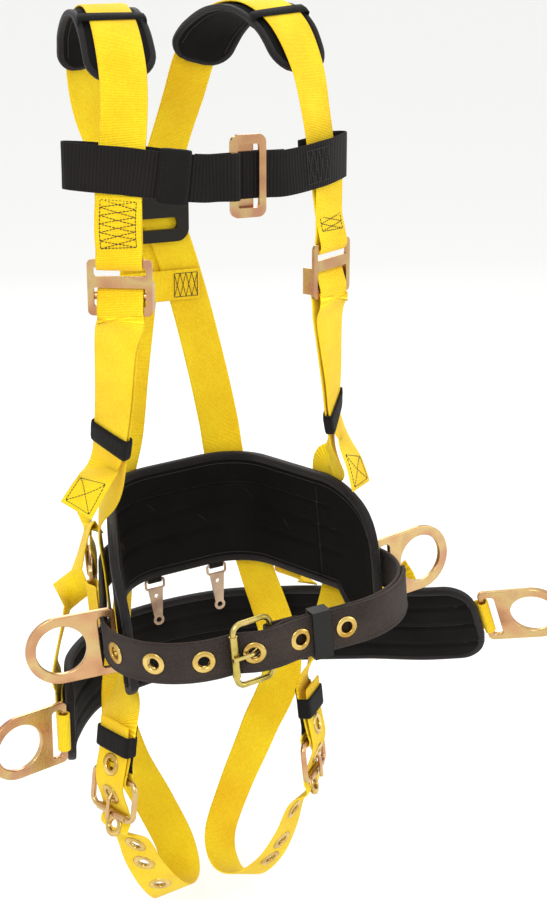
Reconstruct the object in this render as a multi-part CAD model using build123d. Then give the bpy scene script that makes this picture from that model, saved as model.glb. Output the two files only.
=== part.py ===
"""Full-body safety harness: webbing, pads, waist belt, seat sling and hardware."""

from build123d import *
import math
import os

# ---------------------------------------------------------------- driving dimensions, mm
WEB_WIDTH = 44.5          # harness webbing, one and three quarter inches
WEB_THICK = 2.0
LAYER_GAP = 0.8           # air between neighbouring layers of webbing
BAR_GAP = 0.9             # air round a metal bar inside a webbing loop
PIN_GAP = 0.05            # running clearance of a tongue or roller on its bar

# torso; the origin lies between the tops of the shoulder pads
SHOULDER_PAD_WIDTH = 62.0
SHOULDER_PAD_THICK = 8.0
PAD_GAP = 1.4             # between a shoulder pad and the web over it
CHEST_BAR = (-14.0, -128.0, -141.0)   # middle of the chest buckle's sewn-in bar
ADJUSTER_DROP = -242.0    # middle of the torso adjusters
PLATE_WIDTH, PLATE_HEIGHT, PLATE_THICK = 76.0, 84.0, 5.0
PLATE_BACK = 122.0        # front face of the dorsal plate
PLATE_DROP = -208.0
DORSAL_BAR = -197.0       # height of the back D-ring's bar
RING_STAND = 15.0         # its distance behind the plate
KEEPER_WALL = 1.4         # elastic keepers

# waist outline: a rounded trapezium, narrow at the back, that is the belt's outer face
WAIST_X, WAIST_Y, WAIST_Z = 25.0, 0.0, -600.0
WAIST_TILT = 5.0          # degrees; the wearer's left hip rides higher
BACK_HALF, FRONT_HALF = 92.0, 197.0
BACK_Y, FRONT_Y = 145.0, -172.0
BACK_ROUND, FRONT_ROUND = 85.0, 90.0
BELT_WIDTH, BELT_THICK = 44.5, 4.0
PAD_INSET = 15.6          # lumbar pad's outer face, in from the belt's outer face
PAD_THICK = 11.0
PAD_ABOVE, PAD_BELOW = 97.0, 28.0
PAD_WING = 206.0          # outline distance from the front middle to each wing's end
STEP = 12.0               # spacing of the stations along the outline

# hardware
RING_PLATE = 5.5          # thickness of the forged D-ring plates
RING_HOLE = WEB_WIDTH / 2 + 3.75   # a round eye that takes the web's width
RING_BAND = 10.5
RING_REACH = 46.0         # from the slot's middle to the hole's middle
SLOT_WIDE, SLOT_TALL = 12.0, 56.0
SLOT_BAR = 6.0
RING_ROUND = 1.2          # rounding of the plate's edges
BUCKLE_WIRE = 3.0         # radius of the tongue buckles' frame wire
BUCKLE_REACH = 42.0       # from the tongue's bar to the roller's bar
TONGUE_WIRE = 2.2
TONGUE_EYE = 5.4          # outer radius of the tongue's eye round its bar
ROLLER_WALL = 1.2
BUCKLE_HALF = 33.0        # from the buckle's middle to a side rail
GROMMET_HOLE, GROMMET_FLANGE = 6.0, 12.0
BELT_GROMMETS = (-194.0, -143.0, -92.0, -41.0, 10.0, 61.0)
BUCKLE_S = -20.0          # outline distance of the belt buckle's tongue bar
HIP_RING_S, HANGER_BAR_S = 226.0, 338.0
TORSO_WEB_S = 300.0       # where the torso webs pass inside the belt
HOOK_HALF = 38.0          # tool hooks, either side of the pad's middle
KEEPER_S = 33.0           # the belt's moulded keeper
LEG_PITCH = BUCKLE_REACH - 4.0     # spacing of the leg straps' eyelets
RING_LOOP = math.hypot(SLOT_BAR / 2, RING_PLATE / 2) + BAR_GAP
SLING_WIDTH, SLING_THICK = 100.0, 12.0
SLING_LIFT = SLING_THICK / 2 + WEB_THICK / 2 + 1.2   # its webbing, off its middle layer

SIDES = (("R", -1.0), ("L", 1.0))
os.makedirs("parts", exist_ok=True)
NODES = {}


def add(name, shape):
    NODES[name] = shape


def pair(name):
    """Keep the two small pieces name_R and name_L as one node."""
    NODES[name + "s"] = Compound(children=[NODES.pop(name + "_" + label) for label, _ in SIDES])


# ---------------------------------------------------------------- webbing helpers
def solid_from_rows(rows):
    """Close a tube of four-cornered sections with flat triangles and two end caps.

    Opposite faces are cut along the same diagonal, so a twisted strap keeps its
    thickness."""
    faces = []
    for near, far in zip(rows, rows[1:]):
        for k in range(4):
            p, q = near[k], near[(k + 1) % 4]
            r, s = far[(k + 1) % 4], far[k]
            halves = ([p, q, r], [p, r, s]) if k < 2 else ([p, q, s], [q, r, s])
            for corners in halves:
                faces.append(Face(Wire.make_polygon(corners, close=True)))
    faces.append(Face(Wire.make_polygon(rows[0], close=True)))
    faces.append(Face(Wire.make_polygon(rows[-1], close=True)))
    return Solid(Shell(faces))


def smooth(values, parts):
    """Catmull-Rom through rows of numbers, parts pieces between each pair."""
    ends = [values[0]] + list(values) + [values[-1]]
    out = []
    for a, b, c, d in zip(ends, ends[1:], ends[2:], ends[3:]):
        for k in range(parts):
            t = k / parts
            out.append(tuple(
                0.5 * (2 * q + (r - p) * t + (2 * p - 5 * q + 4 * r - s) * t * t
                       + (3 * q - p - 3 * r + s) * t ** 3)
                for p, q, r, s in zip(a, b, c, d)))
    out.append(tuple(values[-1]))
    return out


def sections(path, width=WEB_WIDTH, thick=WEB_THICK, lift=0.0, parts=3):
    """Four-cornered sections of a strap along rows of x, y, z and its width's direction.

    lift moves the strap off its path, towards width x direction."""
    rows = smooth(path, parts) if parts > 1 else list(path)
    points = [Vector(*row[:3]) for row in rows]
    out = []
    for k, row in enumerate(rows):
        before, after = points[max(k - 1, 0)], points[min(k + 1, len(points) - 1)]
        along = (after - before).normalized()
        across = Vector(*row[3:])
        across = (across - along * across.dot(along)).normalized()
        face = across.cross(along)
        middle = points[k] + face * lift
        out.append([middle + across * (u * width / 2) + face * (v * thick / 2)
                    for u, v in ((-1, -1), (1, -1), (1, 1), (-1, 1))])
    return out


def ribbon(path, **sizes):
    return solid_from_rows(sections(path, **sizes))


def row_at(place, x, y, z, across=(0, 1, 0)):
    """A path row given in a plane's own coordinates."""
    point = place.from_local_coords(Vector(x, y, z))
    width = place.from_local_coords(Vector(*across)) - place.origin
    return (point.X, point.Y, point.Z, width.X, width.Y, width.Z)


def bar_loop(place, inner, slot=0.0, width=WEB_WIDTH):
    """Webbing folded round a bar along the plane's Y; slot lengthens it along X."""
    outer = inner + WEB_THICK
    if slot:
        ring = SlotCenterToCenter(slot, 2 * outer) - SlotCenterToCenter(slot, 2 * inner)
    else:
        ring = Circle(outer) - Circle(inner)
    return place * extrude(Rot(90, 0, 0) * ring, width / 2, both=True)


def sleeve(place, long, wide, deep, wall):
    """Moulded keeper: a flat tube along the plane's X, open inside wide x deep."""
    tube = Box(long, wide + 2 * wall, deep + 2 * wall) - Box(long + 1, wide, deep)
    return place * tube


def elastic(path, first, last, wide, deep, lift):
    """Elastic band that follows a strap's twist from one section to another."""
    sizes = {"width": wide + 2 * KEEPER_WALL, "thick": deep + 2 * KEEPER_WALL}
    outside = sections(path, lift=lift, **sizes)[first:last + 1]
    inside = sections(path, width=wide, thick=deep, lift=lift)[first - 1:last + 2]
    return solid_from_rows(outside) - solid_from_rows(inside)


def section_plane(section, after):
    """Plane in the middle of a section: X along the strap, Z out of its face."""
    middle = (section[0] + section[1] + section[2] + section[3]) * 0.25
    ahead = (after[0] + after[1] + after[2] + after[3]) * 0.25
    across = (section[1] - section[0]).normalized()
    along = (ahead - middle).normalized()
    return Plane(origin=middle, x_dir=along, z_dir=across.cross(along))


def body_path(rows, side):
    """Rows of half spread, shift, y, z, swing and dip to points and width directions."""
    out = []
    for half, shift, y, z, swing, dip in rows:
        turn = math.radians(swing)
        out.append((shift + side * half, y, z,
                    math.cos(turn), side * math.sin(turn), -side * dip))
    return out


# ---------------------------------------------------------------- waist outline
SIDE_RUN = math.hypot(FRONT_HALF - BACK_HALF, BACK_Y - FRONT_Y)
FRONT_TURN = math.atan2(BACK_Y - FRONT_Y, BACK_HALF - FRONT_HALF)
BACK_TURN = math.pi - FRONT_TURN
FRONT_FLAT = FRONT_HALF - FRONT_ROUND * math.tan(FRONT_TURN / 2)
BACK_FLAT = BACK_HALF - BACK_ROUND * math.tan(BACK_TURN / 2)
SIDE_FLAT = (SIDE_RUN - FRONT_ROUND * math.tan(FRONT_TURN / 2)
             - BACK_ROUND * math.tan(BACK_TURN / 2))
FRONT_ARC, BACK_ARC = FRONT_ROUND * FRONT_TURN, BACK_ROUND * BACK_TURN
HALF_LENGTH = FRONT_FLAT + FRONT_ARC + SIDE_FLAT + BACK_ARC + BACK_FLAT


def outline(s, inset=0.0):
    """Point and heading on the belt's outer face, s along it from the front middle.

    s is positive towards the wearer's left; inset moves inwards."""
    side, run = (1.0, s) if s >= 0 else (-1.0, -s)
    if run <= FRONT_FLAT:
        x, y, head = run, FRONT_Y, 0.0
    elif run <= FRONT_FLAT + FRONT_ARC:
        head = (run - FRONT_FLAT) / FRONT_ROUND
        x = FRONT_FLAT + FRONT_ROUND * math.sin(head)
        y = FRONT_Y + FRONT_ROUND * (1 - math.cos(head))
    elif run <= FRONT_FLAT + FRONT_ARC + SIDE_FLAT:
        rest = run - FRONT_FLAT - FRONT_ARC
        head = FRONT_TURN
        x = FRONT_FLAT + FRONT_ROUND * math.sin(head) + rest * math.cos(head)
        y = FRONT_Y + FRONT_ROUND * (1 - math.cos(head)) + rest * math.sin(head)
    elif run <= HALF_LENGTH - BACK_FLAT:
        head = FRONT_TURN + (run - FRONT_FLAT - FRONT_ARC - SIDE_FLAT) / BACK_ROUND
        x = BACK_FLAT + BACK_ROUND * math.sin(head)
        y = BACK_Y - BACK_ROUND * (1 + math.cos(head))
    else:
        x, y, head = HALF_LENGTH - run, BACK_Y, math.pi
    x, y = x - inset * math.sin(head), y + inset * math.cos(head)
    return side * x, y, math.cos(head), side * math.sin(head)


TILT = math.radians(WAIST_TILT)
WAIST = Plane(origin=(WAIST_X, WAIST_Y, WAIST_Z),
              x_dir=(math.cos(TILT), 0, math.sin(TILT)),
              z_dir=(-math.sin(TILT), 0, math.cos(TILT)))


def at_waist(x, y, z):
    return WAIST.from_local_coords(Vector(x, y, z))


def waist_dir(x, y, z):
    return at_waist(x, y, z) - at_waist(0, 0, 0)


def hip_row(side, s, inset, z, slant=0.0):
    """A path row on the waist outline: the width follows the outline, turned by slant."""
    x, y, cx, cy = outline(side * s, inset)
    point = at_waist(x, y, z)
    across = waist_dir(cx, cy, slant)
    return (point.X, point.Y, point.Z, across.X, across.Y, across.Z)


def band(stations, top, bottom):
    """A wall along the outline. stations are rows of s, outer inset and inner inset;
    top and bottom give its edges from s."""
    rows = []
    for s, outer, inner in stations:
        row = []
        for inset, edge in ((outer, bottom), (outer, top), (inner, top), (inner, bottom)):
            x, y, _, _ = outline(s, inset)
            row.append(at_waist(x, y, edge(s)))
        rows.append(row)
    return solid_from_rows(rows)


def even(start, end, outer, inner):
    count = max(1, round(abs(end - start) / STEP))
    return [(start + (end - start) * k / count, outer, inner) for k in range(count + 1)]


def hip_plane(s, inset):
    """Plane at the outline: X outwards, Y up the wearer, Z along the belt."""
    x, y, cx, cy = outline(s, inset)
    heading = waist_dir(cx, cy, 0)
    up = waist_dir(0, 0, 1)
    out = heading.cross(up)
    if s < 0:
        heading = heading * -1
    return Plane(origin=at_waist(x, y, 0), x_dir=out, z_dir=out.cross(up))


# ---------------------------------------------------------------- hardware helpers
def d_ring():
    """Plate D-ring flat in XY: slot at the origin, round eye along +X."""
    eye = Pos(RING_REACH, 0) * Circle(RING_HOLE + RING_BAND)
    foot = RectangleRounded(SLOT_WIDE + 2 * SLOT_BAR, SLOT_TALL + 16.0, 6.0)
    plate = make_hull(eye.edges() + foot.edges())
    plate -= Pos(RING_REACH, 0) * Circle(RING_HOLE)
    plate -= RectangleRounded(SLOT_WIDE, SLOT_TALL, 4.0)
    ring = extrude(plate, RING_PLATE / 2, both=True)
    rims = [e for e in ring.edges() if abs(abs(e.center().Z) - RING_PLATE / 2) < 0.01]
    return fillet(rims, RING_ROUND)


def rounded_loop(length, half, wire, corner=9.0):
    """Closed round-wire frame in XY, from x = 0 to length, y = -half to half."""
    path = FilletPolyline((0, -half), (length, -half), (length, half), (0, half),
                          radius=corner, close=True)
    start = Plane(origin=path @ 0, z_dir=path % 0)
    return sweep(start * Circle(wire), path=path)


def tongue_buckle(name, place):
    """Frame, tongue and roller; local X runs from the tongue's bar to the roller's."""
    frame = rounded_loop(BUCKLE_REACH, BUCKLE_HALF, BUCKLE_WIRE)
    add(name + "_frame", place * frame)
    eye = Rot(90, 0, 0) * (Cylinder(TONGUE_EYE, 8.0) - Cylinder(BUCKLE_WIRE + PIN_GAP, 8.0))
    over = BUCKLE_WIRE + ROLLER_WALL + TONGUE_WIRE + 0.4
    spine = FilletPolyline((BUCKLE_WIRE + 1.6, 0, 0.4), (14.0, 0, -1.0), (26.0, 0, over),
                           (BUCKLE_REACH + 6.0, 0, over), radius=4.0)
    blade = sweep(Plane(origin=spine @ 0, z_dir=spine % 0) * Circle(TONGUE_WIRE), path=spine)
    add(name + "_tongue", place * (eye + blade))
    roller = Rot(90, 0, 0) * (Cylinder(BUCKLE_WIRE + ROLLER_WALL, 2 * BUCKLE_HALF - 22.0)
                              - Cylinder(BUCKLE_WIRE + PIN_GAP, 2 * BUCKLE_HALF - 22.0))
    add(name + "_roller", place * Pos(BUCKLE_REACH, 0, 0) * roller)


def grommet(place, hold):
    """Rolled brass eyelet through a strap of thickness hold; its axis is the plane's Z."""
    flange = Cylinder(GROMMET_FLANGE, 1.0)
    shape = Cylinder(GROMMET_HOLE + 1.2, hold + 2.4)
    shape += Pos(0, 0, hold / 2 + 0.7) * flange + Pos(0, 0, -hold / 2 - 0.7) * flange
    shape -= Cylinder(GROMMET_HOLE, hold + 6.0)
    return place * shape


def grommet_seat(place, hold):
    """What an eyelet takes out of a strap: its hole, and a bed for each rolled rim."""
    seat = Cylinder(GROMMET_HOLE + 1.4, hold + 6.0)
    for side in (-1, 1):
        seat += Pos(0, 0, side * (hold / 2 + 1.7)) * Cylinder(GROMMET_FLANGE + 0.45, 3.0)
    return place * seat


def tongue_slit(place):
    """Slit in a folded end that lets the tongue's eye turn on its bar."""
    back = TONGUE_EYE + 0.8
    return place * Pos(back, 0, 0) * Box(4 * back, 11.0, 4 * back)


# ---------------------------------------------------------------- torso adjusters
ADJUSTER_HALF, ADJUSTER_X, ADJUSTER_Y = 110.0, -10.0, -103.0
FRONT_SWING = 30.0        # the front webs face this far out to the side
BAR_RADIUS, BAR_TRAVEL = 4.0, 1.5


def adjuster_plane(side):
    turn = math.radians(FRONT_SWING)
    return Plane(origin=(ADJUSTER_X + side * ADJUSTER_HALF, ADJUSTER_Y, ADJUSTER_DROP),
                 x_dir=(math.cos(turn), side * math.sin(turn), 0),
                 z_dir=(side * math.sin(turn), -math.cos(turn), 0))


def torso_adjuster(label, side):
    """Stamped frame with a top slot and a window; a knurled bar slides behind it."""
    place = adjuster_plane(side)
    slot = WEB_WIDTH + 5.5
    face = RectangleRounded(slot + 12.0, 54.0, 5.0)
    face -= Pos(0, 15.0) * RectangleRounded(slot, 8.4, 2.0)
    face -= Pos(0, -9.0) * RectangleRounded(slot, 18.0, 2.0)
    frame = extrude(face, 1.5, both=True)
    for end in (-1, 1):
        frame += Pos(end * (slot / 2 + 5.2), -9.0, -6.5) * Box(1.6, 26.0, 11.0)
    add("torso_adjuster_frame_" + label, place * frame)
    bar = Rot(0, 90, 0) * Cylinder(BAR_RADIUS, slot + 7.6)
    add("torso_adjuster_bar_" + label, place * Pos(0, -9.0, -5.9) * bar)


# ---------------------------------------------------------------- long webs
# rows: half spread, shift, y, z, swing and dip of the width; up the front, over the
# shoulder, down the back, across to the other hip, round the thigh to the leg buckle
SHOULDER_ROWS = [
    (110, -10, -103, -213, 30, 0), (109, -11, -101, -180, 30, 0),
    (104, -11, -98, -132, 30, 0), (98, -9, -88, -88, 28, 0), (94, -7, -72, -48, 22, 0),
    (89, -8, -42, -10, 10, 0), (82, -11, -4, 8, 0, 0), (74, -15, 38, 4, -4, 0),
    (67, -18, 76, -18, -8, 0), (60, -20, 102, -52, -12, 0), (51, -19, 118, -95, -8, 0),
    (38, -15, 127.5, -135, -2, 0), (20, -8, 130, -172, 0, 0)]
PLATE_ROW = (3, 0, 130, -208, 0, 0)
BACK_ROWS = [(-13, 3, 130, -240, 0, 0), (-29, 10, 130.5, -312, 0, 0),
             (-45, 16, 131, -400, -6, 0), (-54, 20, 131, -462, -16, 0)]
LEG_ROWS = [
    (103, 27, 78, -745, -30, 0.05), (80, 14, 66, -820, -10, 0.2),
    (50, 9, 54, -880, 4, 0.35), (28, 5, 38, -928, 10, 0.4), (28, 2, 12, -955, 12, 0.4),
    (45, 0, -14, -956, 14, 0.4), (66, -3, -36, -928, 18, 0.36),
    (84, -8, -51, -888, 23, 0.3), (97, -12, -61, -848, 28, 0.2)]
CROSS_LAYER = 3.2         # the left shoulder's web passes outside the right one's
WEB_INSET = 12.2          # middle of a web between the pad and the belt at the back
LEG_SWING = {-1.0: 70.0, 1.0: 48.0}   # each leg buckle faces this far out to its side
LEG_BAR = (113, -14, -68, -768)   # tongue bar of each leg buckle: half, shift, y, z


def leg_buckle_plane(side):
    """X down the strap from the tongue bar to the roller, Z out of the strap's face."""
    half, shift, y, z = LEG_BAR
    turn = math.radians(LEG_SWING[side])
    out = Vector(side * math.sin(turn), -math.cos(turn), 0.12).normalized()
    down = Vector(-side * 0.13, 0.06, -1)
    down = (down - out * down.dot(out)).normalized()
    return Plane(origin=(shift + side * half, y, z), x_dir=down, z_dir=out)


def long_web(label, other, side):
    """One web from the adjuster on side to the leg buckle on the opposite hip."""
    hip = -side
    layer = 0.0 if side < 0 else CROSS_LAYER
    rows = [(x, y + layer * min(1, max(0, (-95 - z) / 40)), z, *across)
            for x, y, z, *across in body_path(SHOULDER_ROWS, side)]
    plate_at = len(rows)
    for half, shift, y, z, swing, dip in [PLATE_ROW] + BACK_ROWS:
        turn = math.radians(swing)
        rows.append((shift + side * half, y + layer, z,
                     math.cos(turn), hip * math.sin(turn), 0))
    for s, z in ((460, 102), (454, 60), (443, 5), (430, -45)):
        x, y, zz, cx, cy, cz = hip_row(hip, s, WEB_INSET, z)
        rows.append((x, y, zz, -cx, -cy, -cz))
    hip_at = len(rows) - 1
    twisted = []
    for k, (half, shift, y, z, swing, dip) in enumerate(LEG_ROWS):
        share = max(0.0, (k - 4) / (len(LEG_ROWS) - 4)) ** 1.5
        twisted.append((half, shift, y, z, swing + share * (LEG_SWING[hip] - swing), dip))
    rows += body_path(twisted, hip)
    buckle = leg_buckle_plane(hip)
    sign = 1.0 if row_at(buckle, 0, 0, 0)[3] > 0 else -1.0
    for x, z in ((62, -5.2), (50, -6.2), (42, -6.0), (31, -1.8), (20, 3.4), (10, 7.2),
                 (0, 8.4), (-14, 7.0), (-30, 5.6), (-62, 7.0)):
        rows.append(row_at(buckle, x, 0, z, (0, sign, 0)))
    cuts = sections(rows)
    add("shoulder_web_" + label, solid_from_rows(cuts[:3 * plate_at + 1]))
    add("back_web_" + other, solid_from_rows(cuts[3 * plate_at:3 * hip_at + 1]))
    leg = cuts[3 * hip_at:]
    return leg


def middle_of(section):
    return (section[0] + section[1] + section[2] + section[3]) * 0.25


def station_along(cuts, start, distance):
    """Index of the section nearest to distance back along the strap from start."""
    run, k = 0.0, start
    while run < distance and k > 0:
        run += (middle_of(cuts[k]) - middle_of(cuts[k - 1])).length
        k -= 1
    return k


def leg_web(label, leg, side):
    """Thigh web with its eyelets, from the hip round the thigh and through the buckle."""
    at_tongue = len(leg) - 1 - 3 * 5
    planes = []
    for place in range(-1, 5):
        if place < 0:
            k = len(leg) - 1 - 6
        else:
            k = station_along(leg, at_tongue, LEG_PITCH * place)
        planes.append(section_plane(leg[k], leg[min(k + 1, len(leg) - 1)]))
    web = solid_from_rows(leg)
    eyes = []
    for place in planes:
        web -= grommet_seat(place, WEB_THICK)
        eyes.append(grommet(place, WEB_THICK))
    add("leg_web_" + label, web)
    add("leg_grommets_" + label, Compound(children=eyes))


# ---------------------------------------------------------------- torso webs
# rows as for the long webs; the tail lies TAIL_STEP_OUT outside the web as far as the keeper
TORSO_ROWS = [(111, -8, -88, -300, 34, 0), (116, 1, -67, -360, 45, 0),
              (120.5, 7, -50, -405, 52, 0), (124, 12, -38, -435, 58, 0),
              (128, 20, -18, -474, 90, 0)]
TAIL_ROWS = {"R": [(142, 5, -54, -448, 62, 0), (160, 3, -58, -474, 56, 0)],
             "L": [(140, 9, -62, -462, 46, 0), (148, 6, -70, -490, 40, 0)]}
TORSO_TURN = {"R": 14.0, "L": 0.0}   # each torso web's further turn outwards
TAIL_STEP_OUT = 4.4
# below the belt: lowest height at the waist, then free rows down to the leg buckle
HIP_ROWS = {"R": (-64, []), "L": (-42, [(121, 3, -38, -668, 74, 0)])}
LEG_KEEPER_LIFT = 1.4     # the leg keeper's middle, out from the torso web


def torso_web(label, side):
    """Web from the sliding bar, past the hip inside the belt, to the leg buckle's bar."""
    top = adjuster_plane(side)
    rows = [row_at(top, 0, -18.5, -5.9, (1, 0, 0)), row_at(top, 0, -32.0, -5.9, (1, 0, 0))]
    hang = [(half, shift, y, z, swing + TORSO_TURN[label] * (z > -470), dip)
            for half, shift, y, z, swing, dip in TORSO_ROWS]
    rows += body_path(hang, side)
    low, free_rows = HIP_ROWS[label]
    inset = BELT_THICK + 5.0
    rows += [hip_row(side, TORSO_WEB_S, inset, z) for z in (102, 50, 0, low)]
    rows += body_path(free_rows, side)
    buckle = leg_buckle_plane(side)
    sign = 1.0 if row_at(buckle, 0, 0, 0)[3] > 0 else -1.0
    rows += [row_at(buckle, x, 0, z, (0, sign, 0))
             for x, z in ((-64.0, -2.4), (-44.0, -0.8), (-24.0, 0), (-4.9, 0))]
    web = ribbon(rows)
    web += bar_loop(buckle, BUCKLE_WIRE + BAR_GAP)
    web -= tongue_slit(buckle)
    around = Plane(origin=buckle.from_local_coords(Vector(-40.0, 0, LEG_KEEPER_LIFT)),
                   x_dir=buckle.x_dir, z_dir=buckle.z_dir)
    add("leg_keeper_" + label, sleeve(around, 22.0, WEB_WIDTH + 5.0, 18.4, KEEPER_WALL))
    add("torso_keeper_" + label,
        elastic(rows, 3 * 4 - 1, 3 * 4 + 1, WEB_WIDTH + 4.0, 12.4, -TAIL_STEP_OUT / 2))
    loop_at = Plane(origin=top.from_local_coords(Vector(0, -9.0, -5.9)),
                    x_dir=top.y_dir, z_dir=top.z_dir)
    web += bar_loop(loop_at, BAR_RADIUS + 0.6, slot=2 * BAR_TRAVEL)
    add("torso_web_" + label, web)
    free = [row_at(top, 0, -16.0, 3.2, (1, 0, 0)), row_at(top, 0, -30.0, 3.4, (1, 0, 0))]
    beside = []
    for (half, shift, y, z, swing, dip), step in zip(hang, (1, 1, 1, 2.2)):
        turn, away = math.radians(swing), TAIL_STEP_OUT * step
        beside.append((half + away * math.sin(turn), shift,
                       y - away * math.cos(turn), z, swing, dip))
    add("torso_web_tail_" + label, ribbon(free + body_path(beside + TAIL_ROWS[label], side)))


def shoulder_pad(label, side):
    """Foam pad under the web over the shoulder, with its elastic keeper."""
    path = body_path(SHOULDER_ROWS[4:10], side)
    drop = -(SHOULDER_PAD_THICK + WEB_THICK) / 2 - PAD_GAP
    add("shoulder_pad_" + label,
        ribbon(path, width=SHOULDER_PAD_WIDTH, thick=SHOULDER_PAD_THICK, lift=drop))
    deep = SHOULDER_PAD_THICK + WEB_THICK + PAD_GAP
    middle = WEB_THICK / 2 - deep / 2
    add("shoulder_pad_keeper_" + label,
        elastic(body_path(SHOULDER_ROWS, side), 15, 17, SHOULDER_PAD_WIDTH + 2.0,
                deep + 2.4, middle))


def dorsal_plate():
    """Moulded plate that spreads the crossing webs, with the back D-ring behind it."""
    face = RectangleRounded(PLATE_WIDTH, PLATE_HEIGHT, 14.0)
    for y in (22.0, -22.0):
        face -= Pos(0, y) * RectangleRounded(50.0, 13.0, 5.0)
    place = Plane(origin=(0, PLATE_BACK + PLATE_THICK / 2, PLATE_DROP),
                  x_dir=(1, 0, 0), z_dir=(0, -1, 0))
    add("dorsal_plate", place * extrude(face, PLATE_THICK / 2, both=True))
    ring_y = PLATE_BACK + PLATE_THICK + RING_STAND
    hang = Plane(origin=(0, ring_y, DORSAL_BAR - SLOT_BAR / 2 - SLOT_WIDE / 2),
                 x_dir=(0, 0, -1), z_dir=(0, 1, 0))
    add("dorsal_d_ring", hang * d_ring())
    bar = Plane(origin=(0, ring_y, DORSAL_BAR), x_dir=(0, 0, 1), z_dir=(0, 1, 0))
    loop = bar_loop(bar, RING_LOOP)
    tab = Pos(0, ring_y - RING_LOOP - WEB_THICK / 2, DORSAL_BAR - 22.0)
    loop += tab * Box(WEB_WIDTH, WEB_THICK, 44.0)
    add("dorsal_ring_loop", loop)
    cross = Pos(5.0, PLATE_BACK + 3.6, -299.0) * Box(92.0, WEB_THICK, 34.0)
    add("back_cross_strap", cross)


# ---------------------------------------------------------------- chest strap
def chest():
    """Two halves of ribbed webbing looped round the front webs, and a pass-through buckle."""
    up = (0, 0, 1)
    edge = WEB_WIDTH / 2
    right = [(-90, -100, -134), (-112, -90, -132), (-136, -76, -130),
             (-130.75 - edge, -70, -129), (-140.75 - edge, -74, -128),
             (-137.75 - edge, -83, -128), (-140, -95, -130), (-115, -109, -132),
             (-80, -120, -137), (-46, -126, -141), (CHEST_BAR[0] - 16.0, -128, -141)]
    left = [(66, -101, -137), (90, -90, -135), (108, -79, -134),
            (95.75 + edge, -76, -134), (102.75 + edge, -81, -134),
            (95.75 + edge, -91, -134), (93, -110, -136), (64, -121, -139),
            (40, -128, -141)]
    place = Plane(origin=CHEST_BAR, x_dir=(1, 0, 0), z_dir=(0, -1, 0))
    bar = RectangleRounded(36.0, 78.0, 8.0) - RectangleRounded(22.0, 60.0, 3.0)
    frame = extrude(Pos(14.5, 0) * bar, 2.0, both=True)
    add("chest_buckle_frame", place * frame)
    reach = [row + up for row in right] + [row_at(place, -5.6, 0, 0)]
    web = ribbon(reach, parts=2)
    web += bar_loop(place, math.hypot(3.5, 2.0) + 0.6)
    add("chest_strap_R", web)
    male = place.offset(-8.0)
    male = male.shift_origin(male.from_local_coords(Vector(15.2, 0, 0)))
    plate = extrude(RectangleRounded(15.0, 66.0, 3.0), 1.75, both=True)
    add("chest_buckle_bar", male * plate)
    inner = 1.75 + 0.8
    mate = ribbon([row + up for row in left] + [row_at(male, 9.8, 0, 0)], parts=2)
    mate += bar_loop(male, inner, slot=15.0 + 2.4 - 2 * inner)
    add("chest_strap_L", mate)
    add("chest_keeper", elastic([row + up for row in right[7:]], 4, 6, WEB_WIDTH + 1.5, 6.0, 0))


# ---------------------------------------------------------------- lumbar pad and belt
def pad_top(s):
    """Full height round the back, falling in an arc towards each wing's end."""
    ahead = max(0.0, (PAD_WING + 92.0 - abs(s)) / 92.0)
    return PAD_ABOVE - 78.0 * (1 - math.sqrt(max(0.0, 1 - ahead ** 2)))


def pad_bottom(s):
    """Straight below the belt, with a rounded lobe under each hip ring."""
    away = (abs(s) - PAD_WING - 26.0) / 44.0
    lobe = 34.0 * max(0.0, 1 - away ** 2)
    return -PAD_BELOW - lobe


def lumbar_pad():
    inner = PAD_INSET + PAD_THICK
    left = even(PAD_WING, HALF_LENGTH, PAD_INSET, inner)
    right = even(-HALF_LENGTH, -PAD_WING, PAD_INSET, inner)
    add("lumbar_pad", band(left + right[1:], pad_top, pad_bottom))


BUCKLE_INSET, ROLLER_INSET = 1.0, -4.8
TAIL_END = 192.0
TAIL_OUT = -(BELT_THICK + LAYER_GAP)
# the tail's way over the buckle: outline distance and its outer face's inset
TAIL_STEP = [(-76, 0.0), (-64, 0.0), (-56, -0.6), (-50, -3.0), (-41, -7.0), (-32, -9.4),
             (-20, -9.8), (-9, -8.4), (2, -5.8), (12, TAIL_OUT)]


def belt_buckle_plane():
    """X from the tongue's bar to the roller, towards the wearer's right."""
    bx, by, _, _ = outline(BUCKLE_S, BUCKLE_INSET)
    rx, ry, _, _ = outline(BUCKLE_S - BUCKLE_REACH, ROLLER_INSET)
    along = waist_dir(rx - bx, ry - by, 0).normalized()
    up = waist_dir(0, 0, 1)
    return Plane(origin=at_waist(bx, by, 0), x_dir=along, z_dir=along.cross(up) * -1
                 if along.cross(up).Y > 0 else along.cross(up))


def tail_inset(s):
    """Outer face of the eyeleted end of the belt at s."""
    if s <= TAIL_STEP[0][0]:
        return 0.0
    for (s0, a), (s1, b) in zip(TAIL_STEP, TAIL_STEP[1:]):
        if s <= s1:
            return a + (b - a) * (s - s0) / (s1 - s0)
    return TAIL_OUT


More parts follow.
